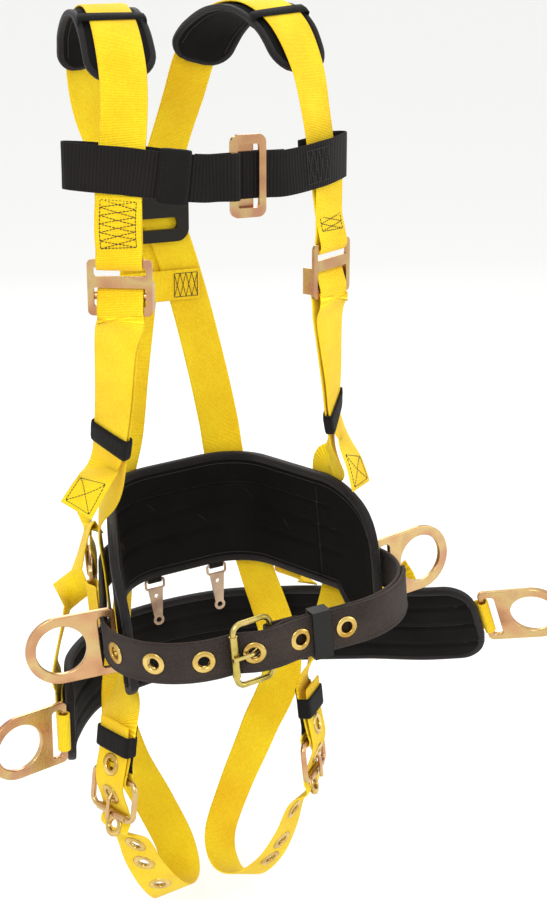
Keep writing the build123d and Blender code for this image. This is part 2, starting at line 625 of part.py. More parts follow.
def belt():
    """One web: round the back from the buckle, then through it with six eyelets."""
    half = BELT_WIDTH / 2
    main = [(BUCKLE_S + 4.9, 0, BELT_THICK), (BUCKLE_S + 10, 0, BELT_THICK)]
    main += even(0, HALF_LENGTH, 0, BELT_THICK)
    main += even(-HALF_LENGTH, -88, 0, BELT_THICK)[1:]
    steps = [(s, a, a + BELT_THICK) for s, a in TAIL_STEP]
    tail = even(24, TAIL_END, TAIL_OUT, TAIL_OUT + BELT_THICK)
    web = band(main + steps + tail, lambda s: half, lambda s: -half)
    buckle = belt_buckle_plane()
    web += bar_loop(buckle, BUCKLE_WIRE + BAR_GAP, width=BELT_WIDTH)
    web -= tongue_slit(buckle)
    eyes = []
    for s in BELT_GROMMETS:
        inset = tail_inset(s) + BELT_THICK / 2
        before, after = outline(s - 6, tail_inset(s - 6) + 2), outline(s + 6, tail_inset(s + 6) + 2)
        x, y, _, _ = outline(s, inset)
        along = waist_dir(after[0] - before[0], after[1] - before[1], 0)
        place = Plane(origin=at_waist(x, y, 0), x_dir=along,
                      z_dir=along.cross(waist_dir(0, 0, 1)))
        web -= grommet_seat(place, BELT_THICK)
        eyes.append(grommet(place, BELT_THICK))
    add("waist_belt", web)
    add("belt_grommets", Compound(children=eyes))
    tongue_buckle("belt_buckle", buckle)
    x, y, cx, cy = outline(KEEPER_S, (TAIL_OUT + BELT_THICK) / 2)
    keeper = Plane(origin=at_waist(x, y, 0), x_dir=waist_dir(cx, cy, 0),
                   z_dir=waist_dir(cy, -cx, 0))
    deep = BELT_THICK - TAIL_OUT + 2.8      # passes over the eyelets
    add("belt_keeper", sleeve(keeper, 20.0, BELT_WIDTH + 1.6, deep, 2.5))


def hip_rings(label, side):
    """D-ring threaded on the belt at the hip, free to swing about its bar."""
    place = hip_plane(side * HIP_RING_S, BELT_THICK / 2)
    add("hip_d_ring_" + label, place * d_ring())


def hanger_ring(label, side):
    """Flat D-ring sewn to the belt behind the hip; the seat sling hangs from it."""
    x, y, cx, cy = outline(side * HANGER_BAR_S, -RING_LOOP - WEB_THICK - LAYER_GAP)
    back = waist_dir(side * cx, side * cy, 0)
    up = waist_dir(0, 0, 1)
    out = up.cross(back) if up.cross(back).X * side > 0 else back.cross(up)
    bar = Plane(origin=at_waist(x, y, 0), x_dir=back, z_dir=out)
    slot = bar.shift_origin(bar.from_local_coords(Vector(SLOT_BAR / 2 + SLOT_WIDE / 2, 0, 0)))
    add("hanger_d_ring_" + label, slot * d_ring())
    add("hanger_ring_loop_" + label, bar_loop(bar, RING_LOOP, width=40.0))
    return slot


# ---------------------------------------------------------------- seat sling
# middle line from the wearer's right end round behind the hips to the left end, each
# row with its width's direction
SLING_ROWS = [(-150, 8, -742, 0, 0, 1), (-128, 70, -738, 0, 0, 1),
              (-75, 126, -732, 0.05, -0.08, 1), (0, 150, -728, 0, -0.15, 1),
              (80, 148, -724, 0, -0.2, 1), (152, 112, -716, -0.12, -0.25, 1),
              (216, 50, -702, -0.2, -0.3, 1), (268, -8, -690, -0.22, -0.32, 1),
              (314, -50, -678, -0.2, -0.34, 1)]


SEAT_RING_TURN = {"R": 60.0, "L": 0.0}   # each seat ring swings this far outwards at rest
SLING_END = 2.0           # each ring's loop stands this far past the pad's end


def seat_sling():
    """Padded band with webbing along its outer face and a D-ring at each end."""
    add("seat_sling_pad", ribbon(SLING_ROWS, width=SLING_WIDTH, thick=SLING_THICK))
    cuts = sections(SLING_ROWS, width=WEB_WIDTH, lift=SLING_LIFT)
    web = solid_from_rows(cuts)
    for label, end, before in (("R", cuts[0], cuts[1]), ("L", cuts[-1], cuts[-2])):
        tip, inside = middle_of(end), middle_of(before)
        out = (tip - inside).normalized()
        across = (end[1] - end[0]).normalized()
        face = out.cross(across)
        bar = Plane(origin=tip + out * (RING_LOOP + WEB_THICK + SLING_END), x_dir=out,
                    z_dir=face)
        past = Box(2 * (SLING_END + WEB_THICK), WEB_WIDTH, WEB_THICK)
        web += Plane(origin=tip, x_dir=out, z_dir=face) * past
        web += bar_loop(bar, RING_LOOP)
        turn = math.radians(SEAT_RING_TURN[label])
        bar = Plane(origin=bar.origin, z_dir=face * math.cos(turn) - out * math.sin(turn),
                    x_dir=out * math.cos(turn) + face * math.sin(turn))
        slot = bar.shift_origin(
            bar.from_local_coords(Vector(SLOT_BAR / 2 + SLOT_WIDE / 2, 0, 0)))
        add("seat_d_ring_" + label, slot * d_ring())
    add("seat_sling_web", web)


def hanger_web(label, side, ring):
    """Web looped through the eye of the hanger ring and sewn to the sling's end."""
    eye = ring.shift_origin(ring.from_local_coords(Vector(RING_REACH, 0, 0)))
    top, foot = -10.5, -(RING_HOLE + RING_BAND + 5.5)
    tall = top - foot
    hole = Pos(0, (top + foot) / 2) * Box(WEB_WIDTH + 1, tall - 2 * WEB_THICK,
                                          RING_PLATE + 2.0)
    wrap = Pos(0, (top + foot) / 2) * Box(WEB_WIDTH, tall, RING_PLATE + 2.0 + 2 * WEB_THICK)
    start = row_at(eye, 0, foot + 1.0, 0, (1, 0, 0))
    below = row_at(eye, 0, foot - 16.0, 0, (1, 0, 0))
    free, station = HANGER_ENDS[label]
    cuts = sections(SLING_ROWS, width=2.0, lift=SLING_LIFT + WEB_THICK + 1.2)
    tip = middle_of(cuts[station])
    rise = (cuts[station][1] - cuts[station][0]).normalized()
    along = (tip - middle_of(cuts[station + 1])).normalized()
    sewn = []
    for up in (66.0, 30.0, -28.0):
        point = tip + rise * up
        sewn.append((point.X, point.Y, point.Z, along.X, along.Y, along.Z))
    add("hanger_web_" + label, eye * (wrap - hole) + ribbon([start, below] + free + sewn))


# each hanger's free rows between its ring and the sling, and the sling station it is sewn to
HANGER_ENDS = {"R": ([], 2), "L": ([(208, 104, -658, 0.5, -0.85, 0.1)], 20)}


def tool_hook(label, side):
    """Flat snap hook hanging on a wire loop under the middle of the lumbar pad."""
    x, y = side * HOOK_HALF, BACK_Y - PAD_INSET - PAD_THICK / 2
    top = -PAD_BELOW - 7.0
    place = Plane(origin=at_waist(x, y, top), x_dir=waist_dir(1, 0, 0),
                  z_dir=waist_dir(0, -1, 0))
    loop = rounded_loop(11.0, 11.0, 1.5, corner=3.0)
    loop = Rot(0, 0, -90) * Pos(-0.0, 0, 0) * loop
    body = make_face(Polyline((-9, -11), (9, -11), (5, -46), (-5, -46), (-9, -11)))
    body -= Pos(0, -20) * Circle(2.2)
    blade = extrude(body, 1.0, both=True)
    blade += Pos(0, -50.0, 0) * extrude(Circle(6.5) - Circle(3.2), 1.2, both=True)
    add("tool_hook_" + label, place * (loop + blade))
    tab = Pos(0, 4.2, 0) * Box(18.0, 4.4, 1.6)
    grip = Pos(0, 0.0, 0) * Rot(0, 90, 0) * (Cylinder(4.0, 17.0) - Cylinder(2.2, 17.0))
    add("tool_hook_tab_" + label, place * (tab + grip))


for label, side in SIDES:
    torso_adjuster(label, side)
    shoulder_pad(label, side)
    torso_web(label, side)
for (label, side), other in zip(SIDES, ("L", "R")):
    leg = long_web(label, other, side)
    leg_web(other, leg, -side)
dorsal_plate()
chest()
lumbar_pad()
belt()
for label, side in SIDES:
    hip_rings(label, side)
    hanger_web(label, side, hanger_ring(label, side))
    tool_hook(label, side)
    tongue_buckle("leg_buckle_" + label, leg_buckle_plane(side))
seat_sling()
pair("tool_hook_tab")
pair("hanger_ring_loop")
for name, shape in NODES.items():
    export_step(shape, "parts/" + name + ".step")
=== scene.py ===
import math

import bmesh
import bpy
import numpy as np
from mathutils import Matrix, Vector


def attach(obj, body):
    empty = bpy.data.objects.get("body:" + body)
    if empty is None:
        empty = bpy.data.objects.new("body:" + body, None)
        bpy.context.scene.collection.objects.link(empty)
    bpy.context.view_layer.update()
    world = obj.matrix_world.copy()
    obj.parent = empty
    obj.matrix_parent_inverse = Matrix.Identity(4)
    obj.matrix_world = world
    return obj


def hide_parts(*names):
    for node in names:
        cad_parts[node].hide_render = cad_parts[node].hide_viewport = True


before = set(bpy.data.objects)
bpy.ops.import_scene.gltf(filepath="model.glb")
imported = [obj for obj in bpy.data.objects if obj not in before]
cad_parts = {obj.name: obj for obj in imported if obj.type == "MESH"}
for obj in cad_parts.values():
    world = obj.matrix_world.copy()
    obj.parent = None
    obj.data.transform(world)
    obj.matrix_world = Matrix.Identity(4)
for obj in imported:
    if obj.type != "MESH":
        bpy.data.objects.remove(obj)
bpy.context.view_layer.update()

# ---------------------------------------------------------------- camera, floor and light
# A pale floor below the straps, a white room and four soft lamps; the camera stands at the
# wearer's right, a little above the middle of the harness. Lengths here are in metres.
scene = bpy.context.scene


def hex_colour(code):
    """sRGB hex digits to linear red, green and blue, with alpha 1."""
    channels = [int(code[k:k + 2], 16) / 255 for k in (0, 2, 4)]
    return [c / 12.92 if c <= 0.04045 else ((c + 0.055) / 1.055) ** 2.4 for c in channels] + [1]


camera = bpy.data.objects.new("camera", bpy.data.cameras.new("camera"))
scene.collection.objects.link(camera)
camera.location = (-0.6622, -1.6755, 0.130)
heading = Vector((0.0699, -0.0311, -0.448)) - camera.location
camera.rotation_euler = heading.to_track_quat("-Z", "Y").to_euler()
camera.data.sensor_fit = "VERTICAL"
camera.data.sensor_height = 36
camera.data.lens = 72
scene.camera = camera

world = bpy.data.worlds.new("studio")
world.use_nodes = True
world.node_tree.nodes["Background"].inputs["Color"].default_value = (1, 1, 1, 1)
world.node_tree.nodes["Background"].inputs["Strength"].default_value = 1.0
scene.world = world
scene.view_settings.view_transform = "Standard"

# name, place, what it faces, size and power in watts
for name, place, aim, size, power in (
        ("key_light", (-1.6, -2.2, 1.3), (0, 0, -0.4), 1.2, 38),
        ("fill_light", (2.2, -1.8, 0.4), (0, 0, -0.5), 1.6, 18),
        ("back_light", (0.6, 2.4, 1.0), (0, 0, -0.4), 1.4, 22),
        ("top_light", (0, -0.2, 2.0), (0, 0, -0.4), 1.2, 10)):
    lamp = bpy.data.lights.new(name, "AREA")
    lamp.size = size
    lamp.energy = power
    light = bpy.data.objects.new(name, lamp)
    light.location = place
    light.rotation_euler = (Vector(aim) - light.location).to_track_quat("-Z", "Y").to_euler()
    scene.collection.objects.link(light)

floor_mesh = bpy.data.meshes.new("floor")
FLOOR_HALF, FLOOR_Z = 30, -1.03
floor_mesh.from_pydata([(x * FLOOR_HALF, y * FLOOR_HALF, FLOOR_Z)
                        for x, y in ((-1, -1), (1, -1), (1, 1), (-1, 1))], [], [(0, 1, 2, 3)])
floor = bpy.data.objects.new("floor", floor_mesh)
scene.collection.objects.link(floor)

# ---------------------------------------------------------------- cloth, thread and metal finishes
# Woven webbing, bound pad cloth, waxed thread, zinc and brass plate, and moulded rubber. A weave
# follows each piece's own width and length, in millimetres, from its UV map.


def new_material(name, colour, roughness, metallic=0.0, specular=0.5):
    """A Principled material with its plain values set on the shader itself."""
    material = bpy.data.materials.new(name)
    material.use_nodes = True
    shader = material.node_tree.nodes["Principled BSDF"]
    shader.inputs["Base Color"].default_value = hex_colour(colour)
    shader.inputs["Roughness"].default_value = roughness
    shader.inputs["Metallic"].default_value = metallic
    shader.inputs["Specular IOR Level"].default_value = specular
    return material, material.node_tree.nodes, material.node_tree.links, shader


def math_node(nodes, links, kind, first, second=None):
    """One Math node; each input is a socket or a number."""
    node = nodes.new("ShaderNodeMath")
    node.operation = kind
    for socket, value in zip(node.inputs, (first, second)):
        if value is None:
            continue
        if isinstance(value, (int, float)):
            socket.default_value = value
        else:
            links.new(value, socket)
    return node.outputs[0]


def noise(nodes, links, scale, detail=3.0, stretch=None):
    """Noise in object space; scale is in cells per metre, stretch squeezes it along the axes."""
    spot = nodes.new("ShaderNodeTexCoord").outputs["Object"]
    if stretch:
        mapping = nodes.new("ShaderNodeMapping")
        mapping.inputs["Scale"].default_value = stretch
        links.new(spot, mapping.inputs["Vector"])
        spot = mapping.outputs[0]
    texture = nodes.new("ShaderNodeTexNoise")
    texture.inputs["Scale"].default_value = scale
    texture.inputs["Detail"].default_value = detail
    links.new(spot, texture.inputs["Vector"])
    return texture.outputs["Fac"]


def ramp(nodes, links, value, stops):
    """Colours at positions from 0 to 1 along a value."""
    node = nodes.new("ShaderNodeValToRGB")
    for _ in stops[2:]:
        node.color_ramp.elements.new(0.5)
    for element, (place, colour) in zip(node.color_ramp.elements, stops):
        element.position = place
        element.color = hex_colour(colour)
    links.new(value, node.inputs["Fac"])
    return node.outputs["Color"]


def woven(name, dark, light, along, across, lift, sheen, roughness=0.72, lean=0.0, specular=0.2):
    """Webbing: ribs every along mm, broken every across mm; the rib tops get a painted highlight and the
    grooves painted shade.
    """
    material, nodes, links, shader = new_material(name, light, roughness, 0.0, specular)
    split = nodes.new("ShaderNodeSeparateXYZ")
    links.new(nodes.new("ShaderNodeTexCoord").outputs["UV"], split.inputs[0])
    u, v = split.outputs["X"], split.outputs["Y"]
    turn = 2000 * math.pi
    slide = math_node(nodes, links, "MULTIPLY", u, turn * lean)
    rib = math_node(nodes, links, "SINE", math_node(
        nodes, links, "ADD", math_node(nodes, links, "MULTIPLY", v, turn / along), slide))
    yarn = math_node(nodes, links, "SINE", math_node(nodes, links, "MULTIPLY", u, turn / across))
    rib_relief_and_shade = math_node(nodes, links, "MULTIPLY", rib, math_node(
        nodes, links, "ADD", math_node(nodes, links, "MULTIPLY", yarn, 0.35), 0.65))
    fuzz = noise(nodes, links, 420.0)
    wear = noise(nodes, links, 16.0)
    # colour: the ribs paint shade into the grooves and a highlight on their tops; fuzz and wear add real
    # colour variation
    level = math_node(nodes, links, "ADD", math_node(nodes, links, "MULTIPLY", rib_relief_and_shade, 0.22),
                      math_node(nodes, links, "MULTIPLY", fuzz, 0.35))
    level = math_node(nodes, links, "ADD", level, math_node(nodes, links, "MULTIPLY", wear, 0.6))
    links.new(ramp(nodes, links, level, [(0.25, dark), (0.72, light)]), shader.inputs["Base Color"])
    bump = nodes.new("ShaderNodeBump")
    bump.inputs["Strength"].default_value = 0.9
    bump.inputs["Distance"].default_value = lift / 1000
    links.new(math_node(nodes, links, "ADD", rib_relief_and_shade, math_node(nodes, links, "MULTIPLY", fuzz, 0.6)),
              bump.inputs["Height"])
    links.new(bump.outputs[0], shader.inputs["Normal"])
    shader.inputs["Sheen Weight"].default_value = sheen
    shader.inputs["Sheen Roughness"].default_value = 0.4
    return material


def plated(name, stops, roughness, patch=38.0, scratch=900.0):
    """Plated metal: its colour drifts in patches, with fine brushed scratches in the gloss."""
    material, nodes, links, shader = new_material(name, stops[0][1], roughness, 1.0)
    links.new(ramp(nodes, links, noise(nodes, links, patch, 2.0), stops), shader.inputs["Base Color"])
    fine = noise(nodes, links, scratch, 4.0, (1.0, 1.0, 0.15))
    gloss = math_node(nodes, links, "ADD", math_node(nodes, links, "MULTIPLY", fine, 0.25),
                      roughness - 0.12)
    links.new(gloss, shader.inputs["Roughness"])
    bump = nodes.new("ShaderNodeBump")
    bump.inputs["Strength"].default_value = 0.25
    bump.inputs["Distance"].default_value = 0.0002
    links.new(fine, bump.inputs["Height"])
    links.new(bump.outputs[0], shader.inputs["Normal"])
    return material


def moulded(name, colour, roughness, grain, specular=0.3):
    """Moulded plastic, rubber or pad cloth with a fine grain of so many cells per metre."""
    material, nodes, links, shader = new_material(name, colour, roughness, 0.0, specular)
    fine, broad = noise(nodes, links, grain), noise(nodes, links, 22.0)
    bump = nodes.new("ShaderNodeBump")
    bump.inputs["Strength"].default_value = 0.5
    bump.inputs["Distance"].default_value = 0.0003
    links.new(fine, bump.inputs["Height"])
    links.new(bump.outputs[0], shader.inputs["Normal"])
    gloss = math_node(nodes, links, "ADD", math_node(nodes, links, "MULTIPLY", broad, 0.3),
                      roughness - 0.15)
    links.new(gloss, shader.inputs["Roughness"])
    return material


# polyester webbing: the grooves' colour (painted shade) and the rib tops' colour (painted highlight), then
# ribs and yarns in mm, the depth of the rib, sheen and roughness
YELLOW = woven("yellow_webbing", "E6B000", "FFE524", 1.5, 2.4, 0.4, 0.1)
BLACK = woven("black_webbing", "050404", "1A1513", 3.4, 1.6, 0.6, 0.04, 0.75)
BELT = woven("belt_webbing", "0E0A09", "4A3D36", 2.6, 2.1, 0.7, 0.06, 0.8, 0.5)
ELASTIC = woven("elastic", "050404", "141110", 1.2, 1.2, 0.25, 0.04, 0.8)
PAD = moulded("pad_cloth", "060505", 0.8, 1400.0, 0.15)
BINDING = woven("pad_binding", "0A0809", "241F21", 1.0, 1.4, 0.2, 0.08, 0.6)
# bonded sewing thread, black on yellow and dark grey on black
THREAD = new_material("black_thread", "141210", 0.5)[0]
GREY_THREAD = new_material("grey_thread", "241F20", 0.6)[0]
# yellow-passivated zinc on forged and stamped steel: pink, gold and copper in soft patches
ZINC = plated("zinc_plate", [(0.3, "AE7C5C"), (0.45, "C79A70"), (0.58, "CBAF78"),
                             (0.7, "BE8C70")], 0.28, 20.0)
BRASS = plated("brass", [(0.3, "B08A3E"), (0.7, "E8CB7C")], 0.24)
BUCKLE = plated("buckle_zinc", [(0.3, "857638"), (0.5, "BCAA58"), (0.75, "CDB478")], 0.28, 60.0)
HOOK = plated("hook_steel", [(0.3, "8C7462"), (0.7, "CDB49C")], 0.32)
RUBBER = moulded("moulded_keeper", "0E0C0B", 0.5, 900.0)
PLATE = moulded("moulded_plate", "0E0C0B", 0.45, 700.0)

floor_mesh.materials.append(moulded("pale_floor", "F4F4F2", 0.85, 60.0))

# ---------------------------------------------------------------- how a strap or pad is made
# A piece is a slab that runs along a path, in millimetres, with its width, thickness and edges
# given along it. These are what every soft piece below is made with.
WEB_WIDTH, WEB_THICK = 44.5, 2.0
PARTS = 8                 # stations between two rows of a path
SIDES = (("R", -1.0), ("L", 1.0))


def smooth(values, parts):
    """Catmull-Rom through rows of numbers, parts pieces between each pair."""
    rows = np.array([values[0]] + list(values) + [values[-1]], float)
    t = (np.arange(parts) / parts)[:, None]
    out = []
    for a, b, c, d in zip(rows, rows[1:], rows[2:], rows[3:]):
        out.append(0.5 * (2 * b + (c - a) * t + (2 * a - 5 * b + 4 * c - d) * t ** 2
                          + (3 * b - a - 3 * c + d) * t ** 3))
    return np.vstack(out + [rows[-1:]])


def unit(rows):
    """Rows of numbers scaled to length 1."""
    return rows / np.maximum(np.linalg.norm(rows, axis=-1, keepdims=True), 1e-9)


def line(path, parts=PARTS, lift=0.0):
    """Stations along rows of x, y, z and the width's direction: middle, width, face, distance."""
    rows = smooth(path, parts)
    middle = rows[:, :3]
    along = unit(np.gradient(middle, axis=0))
    across = rows[:, 3:]
    across = unit(across - along * (across * along).sum(1, keepdims=True))
    face = np.cross(across, along)
    run = np.concatenate([[0], np.cumsum(np.linalg.norm(np.diff(middle, axis=0), axis=1))])
    return {"middle": middle + face * lift, "across": across, "face": face, "run": run}


def part_of(path, start, end):
    """The stations of a line between two distances along it."""
    keep = (path["run"] >= start) & (path["run"] <= end)
    return {key: rows[keep] for key, rows in path.items()}


def mesh_piece(name, points, faces, uvs, material, body="harness", stands_for=(), slot=None):
    """A smooth object from points in mm, riding on a body."""
    mesh = bpy.data.meshes.new(name)
    mesh.from_pydata((np.asarray(points) / 1000).tolist(), [], [tuple(f) for f in faces])
    if uvs is not None:
        layer = mesh.uv_layers.new(name="UVMap")
        corner = np.array([v for f in faces for v in f])
        layer.data.foreach_set("uv", (np.asarray(uvs)[corner] / 1000).astype(np.float32).ravel())
    mesh.materials.append(material)
    mesh.polygons.foreach_set("use_smooth", [True] * len(mesh.polygons))
    piece = bpy.data.objects.new(name, mesh)
    scene.collection.objects.link(piece)
    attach(piece, body)
    if stands_for:
        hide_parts(*stands_for)
    return piece


def slab(name, path, low, high, half, material, power=10.0, count=14, dent=None, back_dent=None,
         end_round=1.0, **facts):
    """A closed slab, rounded across: its half thickness at a fraction t of the width is half times
    (1 - |2t - 1|^power)^(1/power), and falls to a quarter within end_round mm of each end."""
    stations = len(path["run"])
    low, high, half = (np.broadcast_to(np.asarray(v, float), stations)[:, None]
                       for v in (low, high, half))
    t = ((1 - np.cos(np.linspace(0, math.pi, count + 1))) / 2)[None, :]
    edge = np.maximum(1 - np.abs(2 * t - 1) ** power, 0) ** (1 / power)
    left = np.minimum(path["run"] - path["run"][0], path["run"][-1] - path["run"])[:, None]
    ends = np.sqrt(np.maximum(1 - (1 - np.minimum(left / end_round, 1)) ** 2, 0.06))
    u = low + (high - low) * t
    front = back = half * edge * ends
    if dent is not None:
        front = front - np.minimum(dent(u, path["run"][:, None]), 0.8 * front)
    if back_dent is not None:
        back = back - np.minimum(back_dent(u, path["run"][:, None]), 0.8 * back)
    base = path["middle"][:, None, :] + path["across"][:, None, :] * u[:, :, None]
    top = base + path["face"][:, None, :] * front[:, :, None]
    under = (base - path["face"][:, None, :] * back[:, :, None])[:, -2:0:-1]
    ring = np.concatenate([top, under], axis=1)
    size = ring.shape[1]
    grid = np.arange(stations * size).reshape(stations, size)
    after = np.roll(grid, -1, axis=1)
    faces = np.stack([grid[:-1], grid[1:], after[1:], after[:-1]], axis=-1).reshape(-1, 4).tolist()
    for row, flip in ((grid[0], False), (grid[-1], True)):
        for k in range(count):
            a, b = row[k], row[k + 1]
            c = row[(size - k - 1) % size] if k + 1 < count else row[k + 1]
            d = row[(size - k) % size]
            quad = [v for n, v in enumerate((a, b, c, d)) if v not in (a, b, c, d)[:n]]
            faces.append(quad[::-1] if flip else quad)
    across = np.concatenate([u, u[:, -2:0:-1]], axis=1)
    uvs = np.stack([across, np.broadcast_to(path["run"][:, None], across.shape)], axis=-1)
    return mesh_piece(name, ring.reshape(-1, 3), faces, uvs.reshape(-1, 2), material, **facts)


def strap(name, path, material, width=WEB_WIDTH, thick=WEB_THICK, **facts):
    """Webbing of one width: a slab whose UV map is the flat strip, in mm."""
    piece = slab(name, path, -width / 2, width / 2, thick / 2, material, **facts)
    return piece


def on_face(path, u, s, lift):
    """Points at u across and s along a line, lift off its face."""
    out = []
    for key in ("middle", "across", "face"):
        out.append(np.stack([np.interp(s, path["run"], path[key][:, k]) for k in range(3)], axis=-1))
    return out[0] + out[1] * np.asarray(u)[:, None] + out[2] * lift


def threads(name, path, lines, lift, material=THREAD, pitch=3.4, wire=0.42, body="harness",
            **facts):
    """Rows of stitches along lines of (u, s), each stitch a bent thread that dips at both ends."""
    points, faces = [], []
    for run in lines:
        run = np.array(run, float)
        if len(run) < 2:
            continue
        steps = np.concatenate([[0], np.cumsum(np.linalg.norm(np.diff(run, axis=0), axis=1))])
        count = max(1, int(round(steps[-1] / pitch)))
        for k in range(count):
            spots = (k + np.linspace(0.08, 0.92, 5)) * steps[-1] / count
            u, s = np.interp(spots, steps, run[:, 0]), np.interp(spots, steps, run[:, 1])
            rise = lift + wire * np.array([-0.9, 0.35, 0.6, 0.35, -0.9])
            base = on_face(path, u, s, 0.0)
            out = unit(on_face(path, u, s, 1.0) - base)
            middle = base + out * rise[:, None]
            along = unit(np.gradient(middle, axis=0))
            beside = unit(np.cross(out, along))
            for station in range(5):
                for turn in range(5):
                    angle = 2 * math.pi * turn / 5
                    points.append(middle[station] + wire * (
                        beside[station] * math.cos(angle) + out[station] * math.sin(angle)))
            first = len(points) - 25
            for station in range(4):
                for turn in range(5):
                    a, b = first + station * 5 + turn, first + station * 5 + (turn + 1) % 5
                    faces.append((a, b, b + 5, a + 5))
            faces.append(tuple(first + turn for turn in range(4, -1, -1)))
            faces.append(tuple(first + 20 + turn for turn in range(5)))
    return mesh_piece(name, points, faces, None, material, body, **facts)


def box_w(start, end, half=16.0, teeth=3):
    """Sewn box filled with a zigzag, between two distances along a strap."""
    zigzag = [((half if k % 2 else -half), start + (end - start) * k / (2 * teeth))
              for k in range(2 * teeth + 1)]
    other = [(-u, s) for u, s in zigzag]
    box = [(-half, start), (half, start), (half, end), (-half, end), (-half, start)]
    return [box, zigzag, other]


def box_x(start, end, half=15.0):
    """Sewn box with its two diagonals."""
    return box_w(start, end, half, 1)[:1] + [[(-half, start), (half, end)], [(half, start), (-half, end)]]


def loop_band(name, path, wide, deep, lift, wall, material, **facts):
    """Elastic band round a strap: two nested rounded tubes joined at both ends."""
    angles = np.linspace(0, 2 * math.pi, 48, endpoint=False)
    rings = []
    stations = len(path["run"])
    for inside in (False, True):
        for k in (range(stations) if not inside else range(stations - 1, -1, -1)):
            middle = path["middle"][k] + path["face"][k] * lift
            near_end = min(k, stations - 1 - k) == 0
            grow = (0.0 if inside else wall) - (0.3 * wall if near_end and not inside else 0)
            a, b = wide / 2 + grow, deep / 2 + grow
            c, s = np.cos(angles), np.sin(angles)
            x = a * np.sign(c) * np.abs(c) ** 0.28
            y = b * np.sign(s) * np.abs(s) ** 0.28
            rings.append(middle + np.outer(x, path["across"][k]) + np.outer(y, path["face"][k]))
    size, total = 48, len(rings)
    grid = np.arange(total * size).reshape(total, size)
    ahead, after = np.roll(grid, -1, axis=0), np.roll(grid, -1, axis=1)
    both = np.roll(after, -1, axis=0)
    faces = np.stack([grid, after, both, ahead], axis=-1).reshape(-1, 4)
    girth = np.cumsum(np.linalg.norm(np.diff(rings[0], axis=0, append=rings[0][:1]), axis=1))
    runs = np.concatenate([path["run"], path["run"][::-1]])
    uvs = np.stack(np.broadcast_arrays(girth[None, :], runs[:, None]), axis=-1)
    return mesh_piece(name, np.vstack(rings), faces.tolist(), uvs.reshape(-1, 2), material, **facts)


def piping(name, points, normals, wide, tall, material, **facts):
    """Bound edge: a closed tube along points, wide in the pad's plane and tall across it."""
    points, normals = np.asarray(points), unit(np.asarray(normals))
    along = unit(np.roll(points, -1, axis=0) - np.roll(points, 1, axis=0))
    beside = unit(np.cross(normals, along))
    angles = np.linspace(0, 2 * math.pi, 16, endpoint=False)
    c, s = np.cos(angles), np.sin(angles)
    x = wide / 2 * np.sign(c) * np.abs(c) ** 0.7
    y = tall / 2 * np.sign(s) * np.abs(s) ** 0.5
    ring = points[:, None] + beside[:, None] * x[None, :, None] + normals[:, None] * y[None, :, None]
    grid = np.arange(ring.shape[0] * 16).reshape(-1, 16)
    ahead, after = np.roll(grid, -1, axis=0), np.roll(grid, -1, axis=1)
    faces = np.stack([grid, ahead, np.roll(after, -1, axis=0), after], axis=-1).reshape(-1, 4)
    run = np.cumsum(np.linalg.norm(np.diff(points, axis=0, append=points[:1]), axis=1))
    uvs = np.stack(np.broadcast_arrays(np.arange(16)[None, :] * 1.2, run[:, None]), axis=-1)
    return mesh_piece(name, ring.reshape(-1, 3), faces.tolist(), uvs.reshape(-1, 2), material, **facts)


def rim_of(path, low, high):
    """Points and normals round the edge of a slab, from low(s) and high(s) and its two ends."""
    low, high = (np.broadcast_to(np.asarray(v, float), len(path["run"])) for v in (low, high))
    run = path["run"]
    u = np.concatenate([low, np.linspace(low[-1], high[-1], 12)[1:-1], high[::-1],
                        np.linspace(high[0], low[0], 12)[1:-1]])
    s = np.concatenate([run, np.full(10, run[-1]), run[::-1], np.full(10, run[0])])
    keep = np.concatenate([[True], np.hypot(np.diff(u), np.diff(s)) > 0.05])
    u, s = u[keep], s[keep]
    base = on_face(path, u, s, 0.0)
    return base, on_face(path, u, s, 1.0) - base


def placed(origin, x_dir, z_dir):
    """A frame of reference: its origin and three unit directions."""
    x, z = unit(np.array(x_dir, float)), unit(np.array(z_dir, float))
    return np.array(origin, float), x, np.cross(z, x), z


def at(place, x, y, z):
    """A point given in a frame of reference."""
    return place[0] + place[1] * x + place[2] * y + place[3] * z


def row_at(place, x, y, z, across=(0, 1, 0)):
    """A row of a path, its point and its width's direction, given in a frame of reference."""
    width = place[1] * across[0] + place[2] * across[1] + place[3] * across[2]
    return (*at(place, x, y, z), *width)


def body_path(rows, side):
    """Rows of half spread, shift, y, z, swing and dip to points and width directions."""
    out = []
    for half, shift, y, z, swing, dip in rows:
        turn = math.radians(swing)
        out.append((shift + side * half, y, z, math.cos(turn), side * math.sin(turn), -side * dip))
    return out


# ---------------------------------------------------------------- waist outline
# The belt, the pad and the hip hardware follow one rounded trapezium, narrow behind and wide in
# front, in a plane tilted to the wearer's left.
TILT = math.radians(5.0)
WAIST = placed((25.0, 0.0, -600.0), (math.cos(TILT), 0, math.sin(TILT)),
               (-math.sin(TILT), 0, math.cos(TILT)))
BACK_HALF, FRONT_HALF = 92.0, 197.0
BACK_Y, FRONT_Y = 145.0, -172.0
BACK_ROUND, FRONT_ROUND = 85.0, 90.0
PAD_INSET = 15.6 + 5.5    # the belt's outer face to the middle of the lumbar pad
FRONT_TURN = math.atan2(BACK_Y - FRONT_Y, BACK_HALF - FRONT_HALF)
FRONT_FLAT = FRONT_HALF - FRONT_ROUND * math.tan(FRONT_TURN / 2)
BACK_FLAT = BACK_HALF - BACK_ROUND * math.tan((math.pi - FRONT_TURN) / 2)
SIDE_FLAT = (math.hypot(FRONT_HALF - BACK_HALF, BACK_Y - FRONT_Y) - FRONT_HALF + FRONT_FLAT
             - BACK_HALF + BACK_FLAT)
FRONT_ARC, BACK_ARC = FRONT_ROUND * FRONT_TURN, BACK_ROUND * (math.pi - FRONT_TURN)
HALF_LENGTH = FRONT_FLAT + FRONT_ARC + SIDE_FLAT + BACK_ARC + BACK_FLAT


